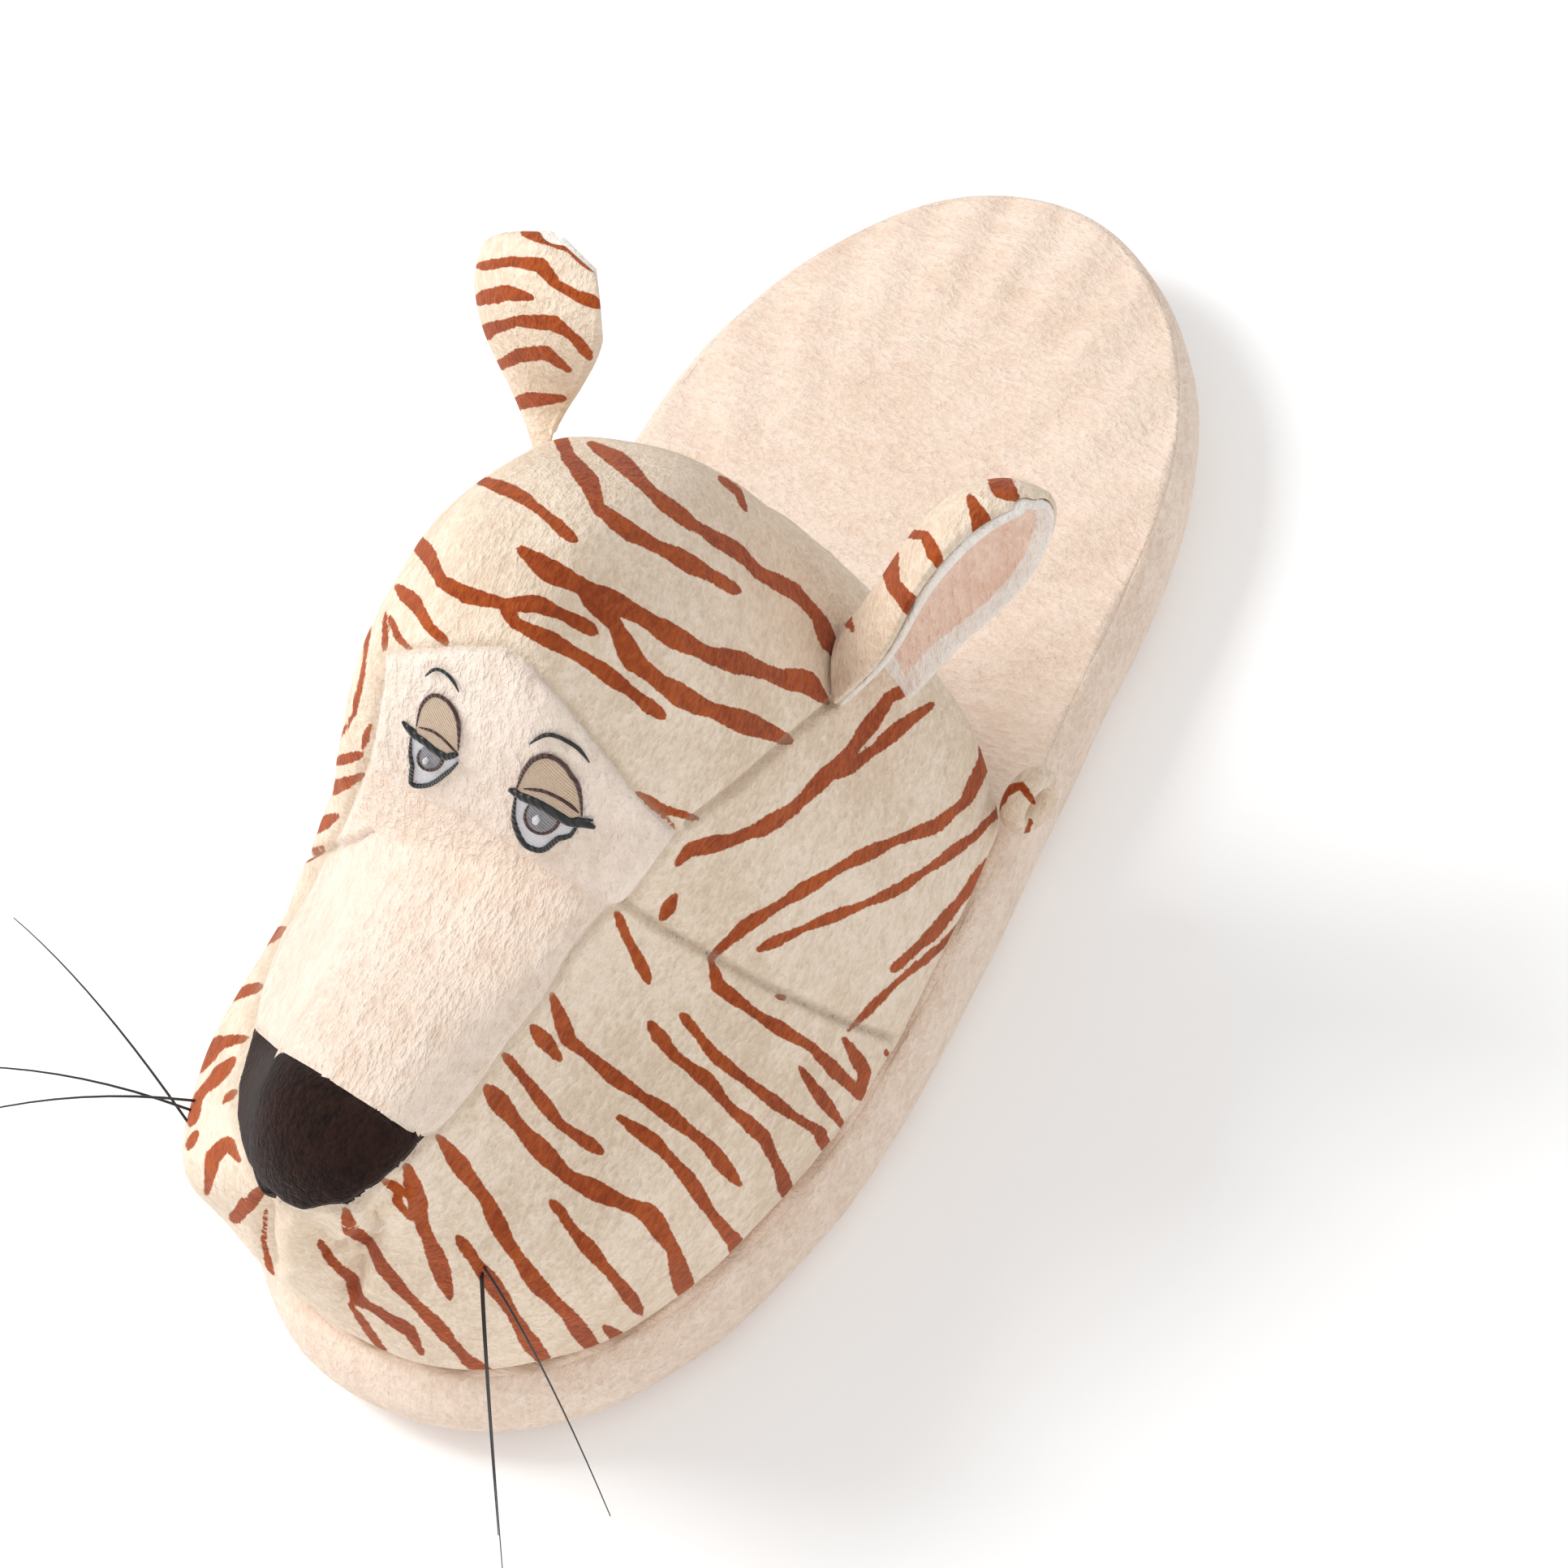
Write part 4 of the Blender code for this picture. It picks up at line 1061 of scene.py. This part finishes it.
def thread_line(name, line, width, rise, thread):
    """A line of thread stitched on the patch, thinner at its ends."""
    route = [Vector((*point, 0.0)) for point in line]
    fine = []
    for index in range(len(route) - 1):
        before = route[max(index - 1, 0)]
        after = route[min(index + 2, len(route) - 1)]
        first, second = route[index], route[index + 1]
        for share in (0.0, 0.25, 0.5, 0.75):
            bend = (after - second - first + before) * (share * (1 - share) * -0.25)
            fine.append(first.lerp(second, share) + bend)
    fine.append(route[-1])
    half = width / 2 / PIXELS_PER_METRE
    centres = [on_patch((point.x, point.y), rise) for point in fine]
    shares = [index / (len(centres) - 1) for index in range(len(centres))]
    radii = [half * (0.35 + 0.65 * min(1.0, 5.0 * min(share, 1.0 - share))) for share in shares]
    embroidered(tube(centres, radii, THREAD_SIDES, flattened), name, thread)


for side, eye_chart in EYES.items():
    stitched_area(f"eye_{side}_white", eye_chart["white"], STITCH_RISE * 0.6, "white")
    stitched_area(f"eye_{side}_lid", eye_chart["lid"], STITCH_RISE, "tan")
    (middle_x, middle_y), radius = eye_chart["iris"]
    lash_line = eye_chart["lash"]
    ring = []
    for step in range(IRIS_STEPS):
        angle = 2 * math.pi * step / IRIS_STEPS
        x, y = middle_x + radius * math.cos(angle), middle_y + radius * math.sin(angle)
        lid_y = np.interp(x, [point[0] for point in lash_line], [point[1] for point in lash_line])
        ring.append((x, max(y, lid_y)))
    stitched_area(f"eye_{side}_iris", ring, STITCH_RISE, "grey")
    arc = ring[IRIS_ARC[0]:] + ring[:IRIS_ARC[1]]
    thread_line(f"eye_{side}_iris_line", arc, IRIS_LINE, STITCH_RISE, "brown")
    glint = [(middle_x + radius * x, middle_y + radius * y) for x, y in GLINT]
    stitched_area(f"eye_{side}_glint", glint, STITCH_RISE * 1.8, "white")
    for line, width, thread in THREADS:
        thin = 1.0 if side == "left" else RIGHT_THIN
        thread_line(f"eye_{side}_{line}", eye_chart[line], width * thin, STITCH_RISE, thread)


# Whiskers. Three stiff black threads on each side, knotted inside the muzzle and left to spread.
WHISKER_RINGS = 12
WHISKER_ROOT = 0.00025
WHISKER_TIP = 0.00009
WHISKER_SIDES = 6
WHISKER_SUNK = 0.002
HEAD_CENTRE = (0.0, -0.09, 0.05)
BLACK_LIGHT = (0.030, 0.028, 0.030)
BLACK_SHADE = (0.006, 0.006, 0.007)

material, sockets, start = new_finish("whisker_thread")
place = start.make("ShaderNodeTexCoord", output="Object")
fleck = start.make("ShaderNodeTexNoise", sockets={"Vector": place, "Scale": 700.0})
connect(sockets["Base Color"], fleck.between(BLACK_SHADE, BLACK_LIGHT))
sockets["Roughness"].default_value = 0.4
for number in range(1, 7):
    corners = np.array([vertex.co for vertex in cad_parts[f"whisker_{number}"].data.vertices])
    corners = np.unique(corners.round(6), axis=0)
    from_head = np.linalg.norm(corners - np.array(HEAD_CENTRE), axis=1)
    chord = corners[from_head.argmax()] - corners[from_head.argmin()]
    ordered = corners[np.argsort(corners @ chord)]
    groups = np.array_split(ordered, WHISKER_RINGS)
    path = [Vector(group.mean(axis=0)) for group in groups]
    path.insert(0, path[0] - (path[1] - path[0]).normalized() * WHISKER_SUNK)
    radii = np.linspace(WHISKER_ROOT, WHISKER_TIP, len(path))
    bm = tube(path, radii, WHISKER_SIDES, lambda run: run.to_track_quat("Z", "Y").to_matrix())
    bmesh.ops.recalc_face_normals(bm, faces=bm.faces)
    whisker = linked_piece(f"whisker_thread_{number}", bm)
    whisker.data.materials.append(material)
    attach(whisker, "root")
    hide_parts(f"whisker_{number}")
